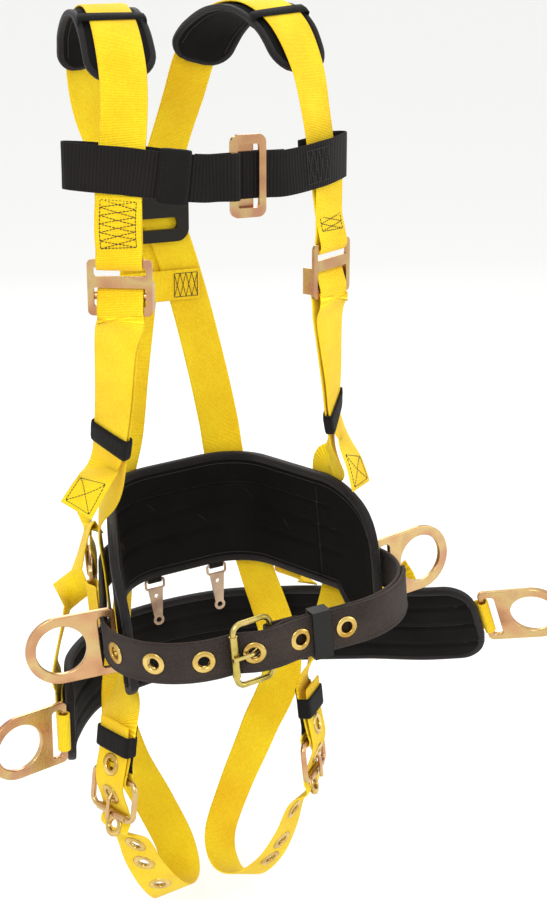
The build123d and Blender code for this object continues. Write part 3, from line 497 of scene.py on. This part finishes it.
def outline(s, inset=0.0):
    """Point and heading on the belt's outer face, s along it from the front middle."""
    side, run = (1.0, s) if s >= 0 else (-1.0, -s)
    if run > HALF_LENGTH:
        side, run = -side, 2 * HALF_LENGTH - run
    arc = min(max(run - FRONT_FLAT, 0), FRONT_ARC) / FRONT_ROUND
    straight = min(max(run - FRONT_FLAT - FRONT_ARC, 0), SIDE_FLAT)
    back = min(max(run - FRONT_FLAT - FRONT_ARC - SIDE_FLAT, 0), BACK_ARC) / BACK_ROUND
    last = max(run - FRONT_FLAT - FRONT_ARC - SIDE_FLAT - BACK_ARC, 0)
    head = arc + back
    x = min(run, FRONT_FLAT) + FRONT_ROUND * math.sin(arc) + straight * math.cos(FRONT_TURN)
    y = FRONT_Y + FRONT_ROUND * (1 - math.cos(arc)) + straight * math.sin(FRONT_TURN)
    x += BACK_ROUND * (math.sin(head) - math.sin(arc)) - last
    y += BACK_ROUND * (math.cos(arc) - math.cos(head))
    x, y = x - inset * math.sin(head), y + inset * math.cos(head)
    return side * x, y, math.cos(head), side * math.sin(head)


def turned(x, y, z):
    """A direction given in the waist's tilted plane."""
    return WAIST[1] * x + WAIST[2] * y + WAIST[3] * z


def hip_row(side, s, inset, z):
    """A row of a path at s along the waist, inset from the belt's face and z up it."""
    x, y, cx, cy = outline(side * s, inset)
    return (*at(WAIST, x, y, z), *turned(cx, cy, 0))


def waist_line(stations):
    """A line round the waist through (s, inset) stations; its width points up, its face out."""
    rows = []
    for s, inset in stations:
        x, y, _, _ = outline(s, inset)
        rows.append((*at(WAIST, x, y, 0), *turned(0, 0, 1)))
    path = line(rows, 4)
    path["face"] = -path["face"]
    return path


# ---------------------------------------------------------------- long yellow webs
# Each runs from a torso adjuster over the shoulder, through the back plate, across to the other
# hip, round the thigh and through the leg buckle.
FRONT_TURN_OUT = 30.0     # the torso adjusters face this far out to the side, in degrees
CROSS_LAYER = 3.2         # the left shoulder's web passes outside the right one's
WEB_INSET = 12.2          # the belt's outer face to the web that passes inside it


def adjuster(side):
    """Frame of reference of a torso adjuster: X across, Y up, Z out of its face."""
    turn = math.radians(FRONT_TURN_OUT)
    return placed((-10 + side * 110, -103, -242), (math.cos(turn), side * math.sin(turn), 0),
                  (side * math.sin(turn), -math.cos(turn), 0))


LEG_SWING = {-1.0: 70.0, 1.0: 48.0}   # each leg buckle faces this far out, in degrees


def leg_buckle(side):
    """Frame of reference of a leg buckle: X down the strap from its tongue bar, Z out."""
    turn = math.radians(LEG_SWING[side])
    out = unit(np.array([side * math.sin(turn), -math.cos(turn), 0.12]))
    down = np.array([-side * 0.13, 0.06, -1.0])
    return placed((-14 + side * 113, -68, -768), down - out * down.dot(out), out)


# rows: half spread, shift, y, z, swing and dip of the width
SHOULDER = [
    (110, -10, -103, -213, 30, 0), (109, -11, -101, -180, 30, 0), (104, -11, -98, -132, 30, 0),
    (98, -9, -88, -88, 28, 0), (94, -7, -72, -48, 22, 0), (89, -8, -42, -10, 10, 0),
    (82, -11, -4, 8, 0, 0), (74, -15, 38, 4, -4, 0), (67, -18, 76, -18, -8, 0),
    (60, -20, 102, -52, -12, 0), (51, -19, 118, -95, -8, 0), (38, -15, 127.5, -135, -2, 0),
    (20, -8, 130, -172, 0, 0)]
BACK = [(3, 0, 130, -208, 0, 0), (-13, 3, 130, -240, 0, 0), (-29, 10, 130.5, -312, 0, 0),
        (-45, 16, 131, -400, -6, 0), (-54, 20, 131, -462, -16, 0)]
LEG = [(103, 27, 78, -745, -30, 0.05), (80, 14, 66, -820, -10, 0.2), (50, 9, 54, -880, 4, 0.35),
       (28, 5, 38, -928, 10, 0.4), (28, 2, 12, -955, 12, 0.4), (45, 0, -14, -956, 14, 0.4),
       (66, -3, -36, -928, 18, 0.36), (84, -8, -51, -888, 23, 0.3), (97, -12, -61, -848, 28, 0.2)]


def island_centres(node):
    """Middle and axis, in mm, of each separate solid in a CAD node: its thinnest direction."""
    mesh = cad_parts[node].data
    near = bmesh.new()
    near.from_mesh(mesh)
    bmesh.ops.remove_doubles(near, verts=near.verts, dist=1e-6)
    seen, out = set(), []
    for start in near.verts:
        if start.index in seen:
            continue
        stack, members = [start], []
        seen.add(start.index)
        while stack:
            vert = stack.pop()
            members.append(np.array(vert.co) * 1000)
            for edge in vert.link_edges:
                other = edge.other_vert(vert)
                if other.index not in seen:
                    seen.add(other.index)
                    stack.append(other)
        members = np.array(members)
        axis = np.linalg.svd(members - members.mean(0), full_matrices=False)[2][2]
        out.append((members.mean(0), axis))
    near.free()
    return out


def punch(piece, holes, radius, deep):
    """Cut a round hole through a strap at each middle and axis."""
    cutters = bmesh.new()
    for middle, axis in holes:
        made = bmesh.ops.create_cone(cutters, cap_ends=True, segments=32, radius1=radius / 1000,
                                     radius2=radius / 1000, depth=deep / 1000)
        turn = Vector(axis).to_track_quat("Z", "Y").to_matrix().to_4x4()
        turn.translation = Vector(middle) / 1000
        bmesh.ops.transform(cutters, matrix=turn, verts=made["verts"])
    mesh = bpy.data.meshes.new("cutters")
    cutters.to_mesh(mesh)
    cutters.free()
    cutter = bpy.data.objects.new("cutters", mesh)
    scene.collection.objects.link(cutter)
    step = piece.modifiers.new("holes", "BOOLEAN")
    step.object, step.operation, step.solver = cutter, "DIFFERENCE", "EXACT"
    bpy.context.view_layer.update()
    cut = bpy.data.meshes.new_from_object(piece.evaluated_get(bpy.context.evaluated_depsgraph_get()))
    piece.modifiers.clear()
    piece.data = cut
    bpy.data.objects.remove(cutter)


def eyelets(name, node, hold, hole, flange, body="harness"):
    """Rolled brass eyelets, lathed about each CAD eyelet's own axis."""
    edge = hold / 2
    half = [(hole, 0), (hole, edge + 0.5), (hole + 0.5, edge + 1.3), (hole + 1.6, edge + 1.75),
            (hole + 3.0, edge + 1.6), (flange - 1.2, edge + 0.9), (flange, edge + 0.35),
            (flange - 0.4, edge)]
    profile = half + [(hole + 1.2, edge), (hole + 1.2, -edge)] + [(r, -z) for r, z in half[:0:-1]]
    angles = np.linspace(0, 2 * math.pi, 40, endpoint=False)
    points, faces = [], []
    for middle, axis in island_centres(node):
        side = unit(np.cross(axis, [0.3, 0.5, 0.8]))
        other = np.cross(axis, side)
        first, size = len(points), len(profile)
        for angle in angles:
            out = side * math.cos(angle) + other * math.sin(angle)
            points += [middle + out * r + axis * z for r, z in profile]
        for k in range(40):
            for j in range(size):
                a, b = first + k * size, first + (k + 1) % 40 * size
                faces.append((a + j, a + (j + 1) % size, b + (j + 1) % size, b + j))
    mesh_piece(name, points, faces, None, BRASS, body, (node,), "brass_eyelet")


for (label, side), other in zip(SIDES, ("L", "R")):
    layer = 0.0 if side < 0 else CROSS_LAYER
    hip, top = -side, adjuster(side)
    lap = [row_at(top, 0, y, z, (1, 0, 0)) for y, z in (
        (92, -3.0), (66, -3.0), (44, -3.0), (36, -3.0), (28, -3.7), (22, -3.3), (17.2, 0),
        (22, 3.3), (28, 3.0), (36, 1.0))]
    rows = lap + [(x, y + layer * min(1, max(0, (-95 - z) / 40)), z, *w)
                  for x, y, z, *w in body_path(SHOULDER[1:], side)]
    for half, shift, y, z, swing, dip in BACK:
        turn = math.radians(swing)
        rows.append((shift + side * half, y + layer, z, math.cos(turn), hip * math.sin(turn), 0))
    for s, z in ((460, 102), (454, 60), (443, 5), (430, -45)):
        row = hip_row(hip, s, WEB_INSET, z)
        rows.append((*row[:3], *(-v for v in row[3:])))
    twisted = []
    for k, (half, shift, y, z, swing, dip) in enumerate(LEG):
        share = max(0.0, (k - 4) / (len(LEG) - 4)) ** 1.5
        twisted.append((half, shift, y, z, swing + share * (LEG_SWING[hip] - swing), dip))
    rows += body_path(twisted, hip)
    buckle = leg_buckle(hip)
    sign = 1.0 if buckle[2][0] > 0 else -1.0
    rows += [row_at(buckle, x, 0, z, (0, sign, 0)) for x, z in (
        (62, -5.2), (50, -6.2), (42, -6.0), (31, -1.8), (20, 3.4), (10, 7.2), (0, 8.4), (-14, 7.0),
        (-30, 5.6), (-62, 7.0))]
    path = line(rows)
    web = strap("long_web_" + label, path, YELLOW, stands_for=(
        "shoulder_web_" + label, "back_web_" + other, "leg_web_" + other), slot="yellow_webbing")
    holes = island_centres("leg_grommets_" + other)
    punch(web, holes, 6.6, 12)
    eyelets("leg_eyelets_" + other, "leg_grommets_" + other, 2.0, 6.0, 12.0)
    sewn = path["run"][PARTS * (len(lap) - 1)]
    threads("front_stitching_" + label, path, box_w(sewn + 2, sewn + 46, 17.0, 3), 1.05)

# ---------------------------------------------------------------- torso webs and their keepers
# Each comes up from the leg buckle inside the belt, turns over the sliding bar and hangs down in
# front as a free tail that an elastic keeper holds.
TORSO = [(111, -8, -88, -300, 34, 0), (116, 1, -67, -360, 45, 0), (120.5, 7, -50, -405, 52, 0),
         (124, 12, -38, -435, 58, 0), (128, 20, -18, -474, 90, 0)]
TAILS = {"R": [(142, 5, -54, -448, 62, 0), (160, 3, -58, -474, 56, 0)],
         "L": [(140, 9, -62, -462, 46, 0), (148, 6, -70, -488, 40, 0)]}
TAIL_STEP_OUT = 4.4       # the tail lies this far outside its web
TORSO_WEB_S, TORSO_WEB_INSET = 300, 9.0
# lowest height at the waist, then free rows down to the leg buckle
HIPS = {"R": (-64, []), "L": (-42, [(121, 3, -38, -668, 74, 0)])}
for label, side in SIDES:
    top, buckle = adjuster(side), leg_buckle(side)
    hang = [(half, shift, y, z, swing + (14.0 if side < 0 and z > -470 else 0.0), dip)
            for half, shift, y, z, swing, dip in TORSO]
    sign = 1.0 if buckle[2][0] > 0 else -1.0
    beside = []
    for (half, shift, y, z, swing, dip), step in zip(hang, (1, 1, 1, 2.2)):
        turn, away = math.radians(swing), TAIL_STEP_OUT * step
        beside.append((half + away * math.sin(turn), shift, y - away * math.cos(turn), z,
                       swing, dip))
    tail = body_path(beside + TAILS[label], side)[::-1]
    tail += [row_at(top, 0, y, z, (1, 0, 0)) for y, z in (
        (-34, 3.4), (-27, 3.4), (-18, 3.0), (-8.4, -0.3), (-3.8, -1.9), (-1.9, -5.9), (-3.8, -9.9),
        (-8.4, -11.4), (-18, -10.0), (-32, -6.8))]
    tail_rows = len(tail)
    low, free = HIPS[label]
    rows = tail + body_path(hang, side)
    rows += [hip_row(side, TORSO_WEB_S, TORSO_WEB_INSET, z) for z in (102, 50, 0, low)]
    rows += body_path(free, side)
    near_buckle = len(rows)
    rows += [row_at(buckle, x, 0, z, (0, sign, 0)) for x, z in
             ((-64, -2.0), (-44, -0.2), (-24, 1.2), (-8.5, 3.4))]
    path = line(rows)
    strap("torso_web_" + label, path, YELLOW, slot="yellow_webbing",
          stands_for=("torso_web_" + label, "torso_web_tail_" + label))
    threads("tail_stitching_" + label, path, box_x(4, 34, 17.0), 1.05)
    bend = [(-8.5, 3.4), (-3.6, 4.7), (0, 4.95), (3.5, 3.5), (4.95, 0), (3.5, -3.5), (0, -4.95),
            (-3.6, -4.7), (-8.5, -3.4)]
    for end, middle in (("upper", 13.9), ("lower", -13.9)):
        strap("buckle_bend_%s_%s" % (label, end),
              line([row_at(buckle, x, middle, z, (0, sign, 0)) for x, z in bend]),
              YELLOW, width=16.7, slot="yellow_webbing")
    back = line([row_at(buckle, x, 0, z, (0, sign, 0)) for x, z in
                 ((-8.5, -3.4), (-18, -2.4), (-30, -3.0), (-62, -5.4))])
    strap("buckle_lap_" + label, back, BLACK, slot="black_webbing")
    threads("buckle_stitching_" + label, path,
            box_x(path["run"][PARTS * (near_buckle + 2)], path["run"][-1] - 6, 16.0), -1.12)
    keeper_at = path["run"][PARTS * (tail_rows + 2)]
    held = part_of(path, keeper_at - 15, keeper_at + 15)
    loop_band("torso_band_" + label, held, 47.5, 8.6, -2.2, 1.5, ELASTIC,
              stands_for=("torso_keeper_" + label,), slot="elastic")
    around = line([row_at(buckle, x, 0, 2.4, (0, sign, 0)) for x in (-51, -45, -40, -35, -29)], 3)
    loop_band("leg_band_" + label, around, 48.0, 13.0, 0.0, 1.5, ELASTIC,
              stands_for=("leg_keeper_" + label,), slot="elastic")

# ---------------------------------------------------------------- shoulder pads
# Foam under black cloth, its edge bound and stitched, with an elastic band round pad and web.
# The pad lies under the web, and its four corners are rounded.
def corner_cut(run, radius):
    """How far a round corner of that radius cuts in from a side, at each distance along a pad."""
    left = np.minimum(run, run[-1] - run)
    return radius * (1 - np.sqrt(np.maximum(1 - (1 - np.minimum(left / radius, 1)) ** 2, 0)))


for label, side in SIDES:
    path = line(body_path(SHOULDER[4:10], side), 12)
    path["middle"] = path["middle"] - path["face"] * 6.4
    run = path["run"]
    edge = 31.0 - corner_cut(run, 22.0)
    pad = slab("shoulder_pad_" + label, path, -edge, edge, 4.0, PAD, power=3.4, count=18,
               end_round=4, stands_for=("shoulder_pad_" + label,), slot="pad_cloth",
               back_dent=lambda u, s: 0.7 * np.exp(-((np.abs(u) - 24) / 1.6) ** 2))
    points, normals = rim_of(path, -edge, edge)
    piping("shoulder_binding_" + label, points, normals, 6.5, 6.4, BINDING, slot="pad_cloth")
    for u in (-24.0, 24.0):
        threads("shoulder_pad_seam_%s_%s" % (label, "in" if u > 0 else "out"), path,
                [[(u, s) for s in np.linspace(18, run[-1] - 18, 40)]], -3.6, GREY_THREAD)
    whole = line(body_path(SHOULDER, side))
    at_band = whole["run"][PARTS * 5 + 3]
    held = part_of(whole, at_band - 8, at_band + 10)
    loop_band("shoulder_band_" + label, held, 64.6, 13.4, -4.7, 1.3, ELASTIC,
              stands_for=("shoulder_pad_keeper_" + label,), slot="elastic")

# ---------------------------------------------------------------- back plate, ring loop and cross strap
# A short black web is folded round the back ring's bar and sewn flat behind the moulded plate; a
# yellow strap sewn across the two long webs keeps their crossing in place.
plate_bar = placed((0, 142, -197), (0, 0, 1), (0, 1, 0))
rows = [row_at(plate_bar, x, 0, z, (0, 1, 0)) for x, z in (
    (-42, -5.9), (-24, -5.9), (-8, -5.9), (0, -5.95), (4.3, -4.2), (6.0, 0), (4.3, 4.2),
    (0, 5.95), (-6, 4.6), (-10, 1.0), (-14, -2.6), (-24, -3.4), (-40, -3.4))]
strap("back_ring_loop", line(rows), BLACK, stands_for=("dorsal_ring_loop",), slot="black_webbing")
path = line([(x, 125.6, -299, 0, 0, 1) for x in (-41, -18, 5, 28, 51)])
strap("back_cross_strap", path, YELLOW, width=34.0, stands_for=("back_cross_strap",),
      slot="yellow_webbing")
for end, name in ((3, "R"), (62, "L")):
    threads("cross_stitching_" + name, path, box_w(end, end + 27, 13.0, 2), 1.05)
    threads("cross_stitching_front_" + name, path, box_w(end, end + 27, 13.0, 2), -1.12)

# ---------------------------------------------------------------- chest strap
# Two black ribbed halves: each goes round its front web and back through its end of the
# pass-through buckle. A wide elastic band holds the right half's free end.
up = (0, 0, 1)
right = [(-52, -122.0, -140), (-38, -123.6, -141), (-24, -123.4, -141), (-18, -123.2, -141),
         (-14, -122.4, -141), (-9.6, -124.4, -141), (-8.4, -128, -141), (-9.9, -132.0, -141),
         (-14, -133.6, -141),
         (-20, -132.0, -141), (-30, -128.6, -141), (-46, -126, -141), (-80, -120, -137), (-115, -109, -132),
         (-140, -95, -130), (-160, -83, -128), (-163, -74, -128), (-153, -70, -129), (-136, -76, -130),
         (-112, -90, -132), (-90, -100, -134), (-70, -109, -137)]
path = line([row + up for row in right])
strap("chest_strap_R", path, BLACK, stands_for=("chest_strap_R",), slot="black_webbing")
sewn = path["run"][PARTS * 12] + 14
threads("chest_stitching_R", path, box_w(sewn, sewn + 32, 16.0, 2), -1.15, GREY_THREAD)
left = [(66, -100, -137), (90, -90, -135), (108, -79, -134), (118, -76, -134), (125, -81, -134),
        (118, -91, -134), (93, -110, -136), (64, -121, -139), (40, -126.5, -141), (24, -125.6, -141),
        (12, -123.6, -141), (1, -123.6, -141), (-6.0, -123.0, -141), (-8.4, -120, -141), (-6.0, -117.0, -141),
        (1, -116.4, -141), (12, -117.6, -141), (26, -121.6, -141), (40, -122.6, -141)]
path = line([row + up for row in left])
strap("chest_strap_L", path, BLACK, stands_for=("chest_strap_L",), slot="black_webbing")
sewn = path["run"][PARTS * 6]
threads("chest_stitching_L", path, box_w(sewn, sewn + 30, 16.0, 2), 1.15, GREY_THREAD)
path = line([row + up for row in ((-115, -109, -132), (-80, -120, -137), (-46, -126, -141),
                                  (-30, -128, -141))])
loop_band("chest_band", part_of(path, 30, 62), 48.5, 7.6, 0.4, 1.5, ELASTIC,
          stands_for=("chest_keeper",), slot="elastic")

# ---------------------------------------------------------------- lumbar pad
# A bound foam band, high behind and arched down to each hip, sewn in channels along and up it.
# Its ends stand PAD_START from the middle of the front, round each side.
PAD_START = 206


def pad_top(s):
    """Height of the pad's upper edge: a quarter ellipse up from each end, then level."""
    ahead = max(0.0, (PAD_START + 92.0 - abs(s)) / 92.0)
    return 97 - 78.0 * (1 - math.sqrt(max(0.0, 1 - ahead ** 2)))


def pad_bottom(s):
    """Height of its lower edge: level, with a parabola's lobe down at each hip."""
    return -28 - 34.0 * max(0.0, 1 - ((abs(s) - PAD_START - 26.0) / 44.0) ** 2)


length = 2 * (HALF_LENGTH - PAD_START)
pad_s = PAD_START + length * np.arange(0, 241, 4) / 240
path = waist_line([(s if s <= HALF_LENGTH else s - 2 * HALF_LENGTH, PAD_INSET) for s in pad_s])
pad_run = np.interp(path["run"], [0, path["run"][-1]], [PAD_START, PAD_START + length])
side_s = np.where(pad_run <= HALF_LENGTH, pad_run, pad_run - 2 * HALF_LENGTH)
top_edge = np.array([pad_top(s) for s in side_s]) - 0.5
low_edge = np.array([pad_bottom(s) for s in side_s]) + 0.5
middle_run = path["run"][-1] / 2
ROWS, UPRIGHTS = (66.0, 40.0, 14.0), (-196.0, 196.0)
TACKS = (-150.0, -92.0, -30.0, 30.0, 92.0, 150.0)


def channel(u, s):
    """Depth sewn into the pad: long rows along it and short upright seams."""
    rows = sum(np.exp(-((u - level) / 2.0) ** 2) for level in ROWS)
    inside = 1 / (1 + np.exp((np.abs(s - middle_run) - 235) / 6))
    upright = sum(np.exp(-((s - middle_run - place) / 2.0) ** 2) for place in UPRIGHTS)
    return 2.6 * np.clip(rows * inside + upright * (u > -22), 0, 1)


pad = slab("lumbar_pad", path, low_edge, top_edge, 5.0, PAD, power=5.0, count=60,
           dent=channel, back_dent=channel, end_round=5, stands_for=("lumbar_pad",), slot="pad_cloth")
points, normals = rim_of(path, low_edge, top_edge)
piping("lumbar_binding", points, normals, 9.0, 9.4, BINDING, slot="pad_cloth")
rows = [[(level, s) for s in np.linspace(middle_run - 232, middle_run + 232, 160)]
        for level in ROWS]
rows += [[(u, middle_run + place) for u in np.linspace(-20, 84, 30)] for place in UPRIGHTS]
threads("pad_seams_outer", path, rows, 2.6, GREY_THREAD, 3.6)
threads("pad_seams_inner", path, rows, -2.6, GREY_THREAD, 3.6)
marks = [[(28 + 26 * (k % 2) - 5, middle_run + place),
          (28 + 26 * (k % 2) + 5, middle_run + place + 9)] for k, place in enumerate(TACKS)]
threads("pad_tacks", path, marks, -4.6, GREY_THREAD, 1.2, 0.6)
for name, lift in (("outer", 4.6), ("inner", -4.6)):
    inset = [[(e - 7.5 * (1 if e > 0 else -1), s) for e, s in zip(edge[4:-4], path["run"][4:-4])]
             for edge in (low_edge, top_edge)]
    threads("pad_edge_seam_" + name, path, inset, lift, GREY_THREAD, 3.2)

# ---------------------------------------------------------------- waist belt
# One heavy web: folded round the buckle's bar, round the back, over the roller and out as a tail
# through a moulded keeper. Brass eyelets are set along it.
STEPS = [(-76, 0.0), (-64, 0.0), (-56, -0.6), (-50, -3.0), (-41, -7.0), (-32, -9.4), (-20, -9.8),
         (-9, -8.4), (2, -5.8), (12, -4.8)]
stations = [(s, 2.0) for s in np.arange(0, HALF_LENGTH, 12.0)]
stations += [(s, 2.0) for s in np.arange(-HALF_LENGTH, -88, 12.0)] + [(-88, 2.0)]
stations += [(s, inset + 2.0) for s, inset in STEPS]
stations += [(s, -2.8) for s in range(24, 193, 12)] + [(191, -2.8)]
fold = [(12, 5.6), (0, 5.7), (-12, 5.7), (-20, 5.9), (-24.4, 4.2), (-25.6, 1.0), (-24.4, -2.0),
        (-20, -3.8), (-14, -2.4), (-8, 0.4)]
path = waist_line(fold + stations)
run = path["run"]
left_over = run[-1] - run
thick = np.interp(run, [run[4 * 3], run[4 * 5], run[4 * 8], run[4 * 11]], [1.3, 1.1, 1.1, 2.0])
tip = 22.25 * np.sqrt(np.maximum(1 - (1 - np.minimum(left_over / 20.0, 1)) ** 2, 0.04))
belt = slab("waist_belt", path, -tip, tip, thick, BELT, count=16, stands_for=("waist_belt",),
            slot="belt_webbing")
punch(belt, island_centres("belt_grommets"), 6.7, 11)
eyelets("belt_eyelets", "belt_grommets", 4.0, 6.0, 12.0)
for name, lift in (("outer", 2.05), ("inner", -2.1)):
    seams = [[(u, s) for s in np.arange(run[4 * 14], run[-1] - 16, 3.0)] for u in (-19.0, 19.0)]
    threads("belt_seams_" + name, path, seams, lift, GREY_THREAD, 4.0, 0.45)

# ---------------------------------------------------------------- seat sling
# A padded, quilted band with webbing sewn along its outer face; the webbing's two ends turn back
# on themselves, and a ring hangs in each loop.
SLING = [(-150, 8, -742, 0, 0, 1), (-128, 70, -738, 0, 0, 1), (-75, 126, -732, 0.05, -0.08, 1),
         (0, 150, -728, 0, -0.15, 1), (80, 148, -724, 0, -0.2, 1), (152, 112, -716, -0.12, -0.25, 1),
         (216, 50, -702, -0.2, -0.3, 1), (268, -8, -690, -0.22, -0.32, 1),
         (314, -50, -678, -0.2, -0.34, 1)]
SLING_WEB_LIFT, LEVELS = 8.2, (-28.0, 0.0, 28.0)
path = line(SLING, 16)
run = path["run"]
edge = 49.5 - corner_cut(run, 30.0)


def quilted(u, s):
    """Depth of the sling's long sewn rows."""
    return 2.2 * np.clip(sum(np.exp(-((u - level) / 1.9) ** 2) for level in LEVELS), 0, 1)


pad = slab("seat_pad", path, -edge, edge, 5.8, PAD, power=4.0, count=44, dent=quilted,
           back_dent=quilted, end_round=5, stands_for=("seat_sling_pad",), slot="pad_cloth")
points, normals = rim_of(path, -edge, edge)
piping("seat_binding", points, normals, 8.0, 9.6, BINDING, slot="pad_cloth")
rows = [[(level, s) for s in np.arange(14, run[-1] - 14, 3.0)] for level in LEVELS]
threads("seat_seams_outer", path, rows, 3.7, GREY_THREAD, 3.8)
threads("seat_seams_inner", path, rows, -3.7, GREY_THREAD, 3.8)

web = line(SLING, 3, SLING_WEB_LIFT)
rows = [(*m, *a) for m, a in zip(web["middle"], web["across"])]
loops = []
for tip_row, before in ((rows[0], rows[1]), (rows[-1], rows[-2])):
    tip, inside = np.array(tip_row[:3]), np.array(before[:3])
    out, across = unit(tip - inside), np.array(tip_row[3:])
    bar = placed(tip + out * 8.975, out, np.cross(out, across))
    sign = 1.0 if float(np.dot(bar[2], across)) > 0 else -1.0
    side_in = 1.0 if float(np.dot(bar[3], web["face"][0 if tip_row is rows[0] else -1])) > 0 else -1.0
    loops.append([row_at(bar, x, 0, side_in * z, (0, sign, 0)) for x, z in (
        (-6.5, 2.4), (-3.2, 5.2), (0, 6.0), (4.2, 4.2), (6.0, 0), (4.2, -4.2), (0, -6.0), (-4.0, -3.4),
        (-8, -0.4))])
path = line(loops[0][::-1][:8] + [loops[0][0]] + rows[1:-1] + [loops[1][0]] + loops[1][1:8], 6)
strap("seat_web", path, YELLOW, stands_for=("seat_sling_web",), slot="yellow_webbing")
last = path["run"][-1]
threads("seat_stitching_R", path, box_w(40, 84, 17.0, 3), 1.05)
threads("seat_stitching_L", path, box_w(last - 84, last - 40, 17.0, 3), 1.05)
threads("seat_stitching_back", path, box_x(last / 2 - 20, last / 2 + 20, 17.0), 1.05)

# ---------------------------------------------------------------- hanger rings' loops and webs
# A short loop sewn to the belt holds each ring behind the hip; a web folded round the ring's eye
# drops to the sling and is sewn over its webbing.
HANGER_BAR_S = 338
LOOP_RADIUS = math.hypot(3, 2.75) + 0.9   # clear of the ring's rectangular bar
ends = {"R": ([], 2), "L": ([(208, 104, -658, 0.5, -0.85, 0.1)], 20)}
cuts = line(SLING, 3, SLING_WEB_LIFT + 2.0 + 1.2)
for label, side in SIDES:
    x, y, cx, cy = outline(side * HANGER_BAR_S, -LOOP_RADIUS - 2.0 - 0.8)
    back, rise = turned(side * cx, side * cy, 0), turned(0, 0, 1)
    out = np.cross(rise, back)
    out = out if out[0] * side > 0 else -out
    bar = placed(at(WAIST, x, y, 0), back, out)
    eye = placed(at(bar, 9.0 + 46.0, 0, 0), back, out)
    foot = -42.0
    rows = [row_at(eye, 0, y, z, (1, 0, 0)) for y, z in (
        (foot - 4, 2.2), (foot + 4, 4.0), (-30, 4.8), (-16, 4.9), (-11.6, 3.6), (-10.0, 0),
        (-11.6, -3.6), (-16, -4.9), (-30, -4.6), (foot, -1.6), (foot - 16, 0))]
    free, station = ends[label]
    tip, rise = cuts["middle"][station], cuts["across"][station]
    along = unit(tip - cuts["middle"][station + 1])
    rows += free + [(*(tip + rise * step), *along) for step in (66.0, 30.0, -28.0)]
    path = line(rows)
    strap("hanger_web_" + label, path, YELLOW, stands_for=("hanger_web_" + label,),
          slot="yellow_webbing")
    for lift, name in ((1.05, "outer"), (-1.15, "inner")):
        threads("hanger_stitching_%s_%s" % (label, name), path,
                box_w(path["run"][-1] - 50, path["run"][-1] - 4, 17.0, 3), lift)
    loop = line([row_at(bar, x, 0, z, (0, 1, 0)) for x, z in (
        (-26, -6.4), (-14, -6.2), (0, -6.0), (4.3, -4.2), (6.0, 0), (4.3, 4.2), (0, 6.0), (-6, 4.4),
        (-12, -0.4), (-18, -3.4), (-27, -4.2))])
    strap("hanger_loop_" + label, loop, YELLOW, width=40.0,
          stands_for=("hanger_ring_loops",) if label == "R" else (), slot="yellow_webbing")

# ---------------------------------------------------------------- tool hooks' tabs
# A narrow black tape, folded round each hook's wire loop and sewn into the pad's lower binding.
HOOK_HALF = 38.0
for label, side in SIDES:
    middle = at(WAIST, side * HOOK_HALF, BACK_Y - PAD_INSET, -35)
    place = placed(middle, turned(1, 0, 0), turned(0, -1, 0))
    path = line([row_at(place, 0, h, z, (1, 0, 0)) for h, z in (
        (8.5, 1.2), (3, 2.4), (0, 3.1), (-2.4, 2.2), (-3.2, 0), (-2.4, -2.2), (0, -3.1),
        (3, -2.4), (8.5, -1.2))], 6)
    strap("hook_tab_" + label, path, BLACK, width=16.0, thick=1.4,
          stands_for=("tool_hook_tabs",) if label == "R" else (), slot="black_webbing")

# ---------------------------------------------------------------- hardware
# Forged rings, stamped adjusters, wire buckles, snap hooks and moulded pieces keep their shape and
# take their own finish.
FINISH = [("belt_buckle", BUCKLE), ("tool_hook", HOOK), ("belt_keeper", RUBBER), ("dorsal_plate", PLATE),
          ("leg_buckle", ZINC), ("torso_adjuster", ZINC), ("chest_buckle", ZINC), ("hip_d", ZINC),
          ("seat_d", ZINC), ("hanger_d", ZINC), ("dorsal_d", ZINC)]
for node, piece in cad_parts.items():
    for start, material in FINISH:
        if node.startswith(start):
            if not piece.material_slots:
                piece.data.materials.append(material)
            for place in piece.material_slots:
                place.material = material
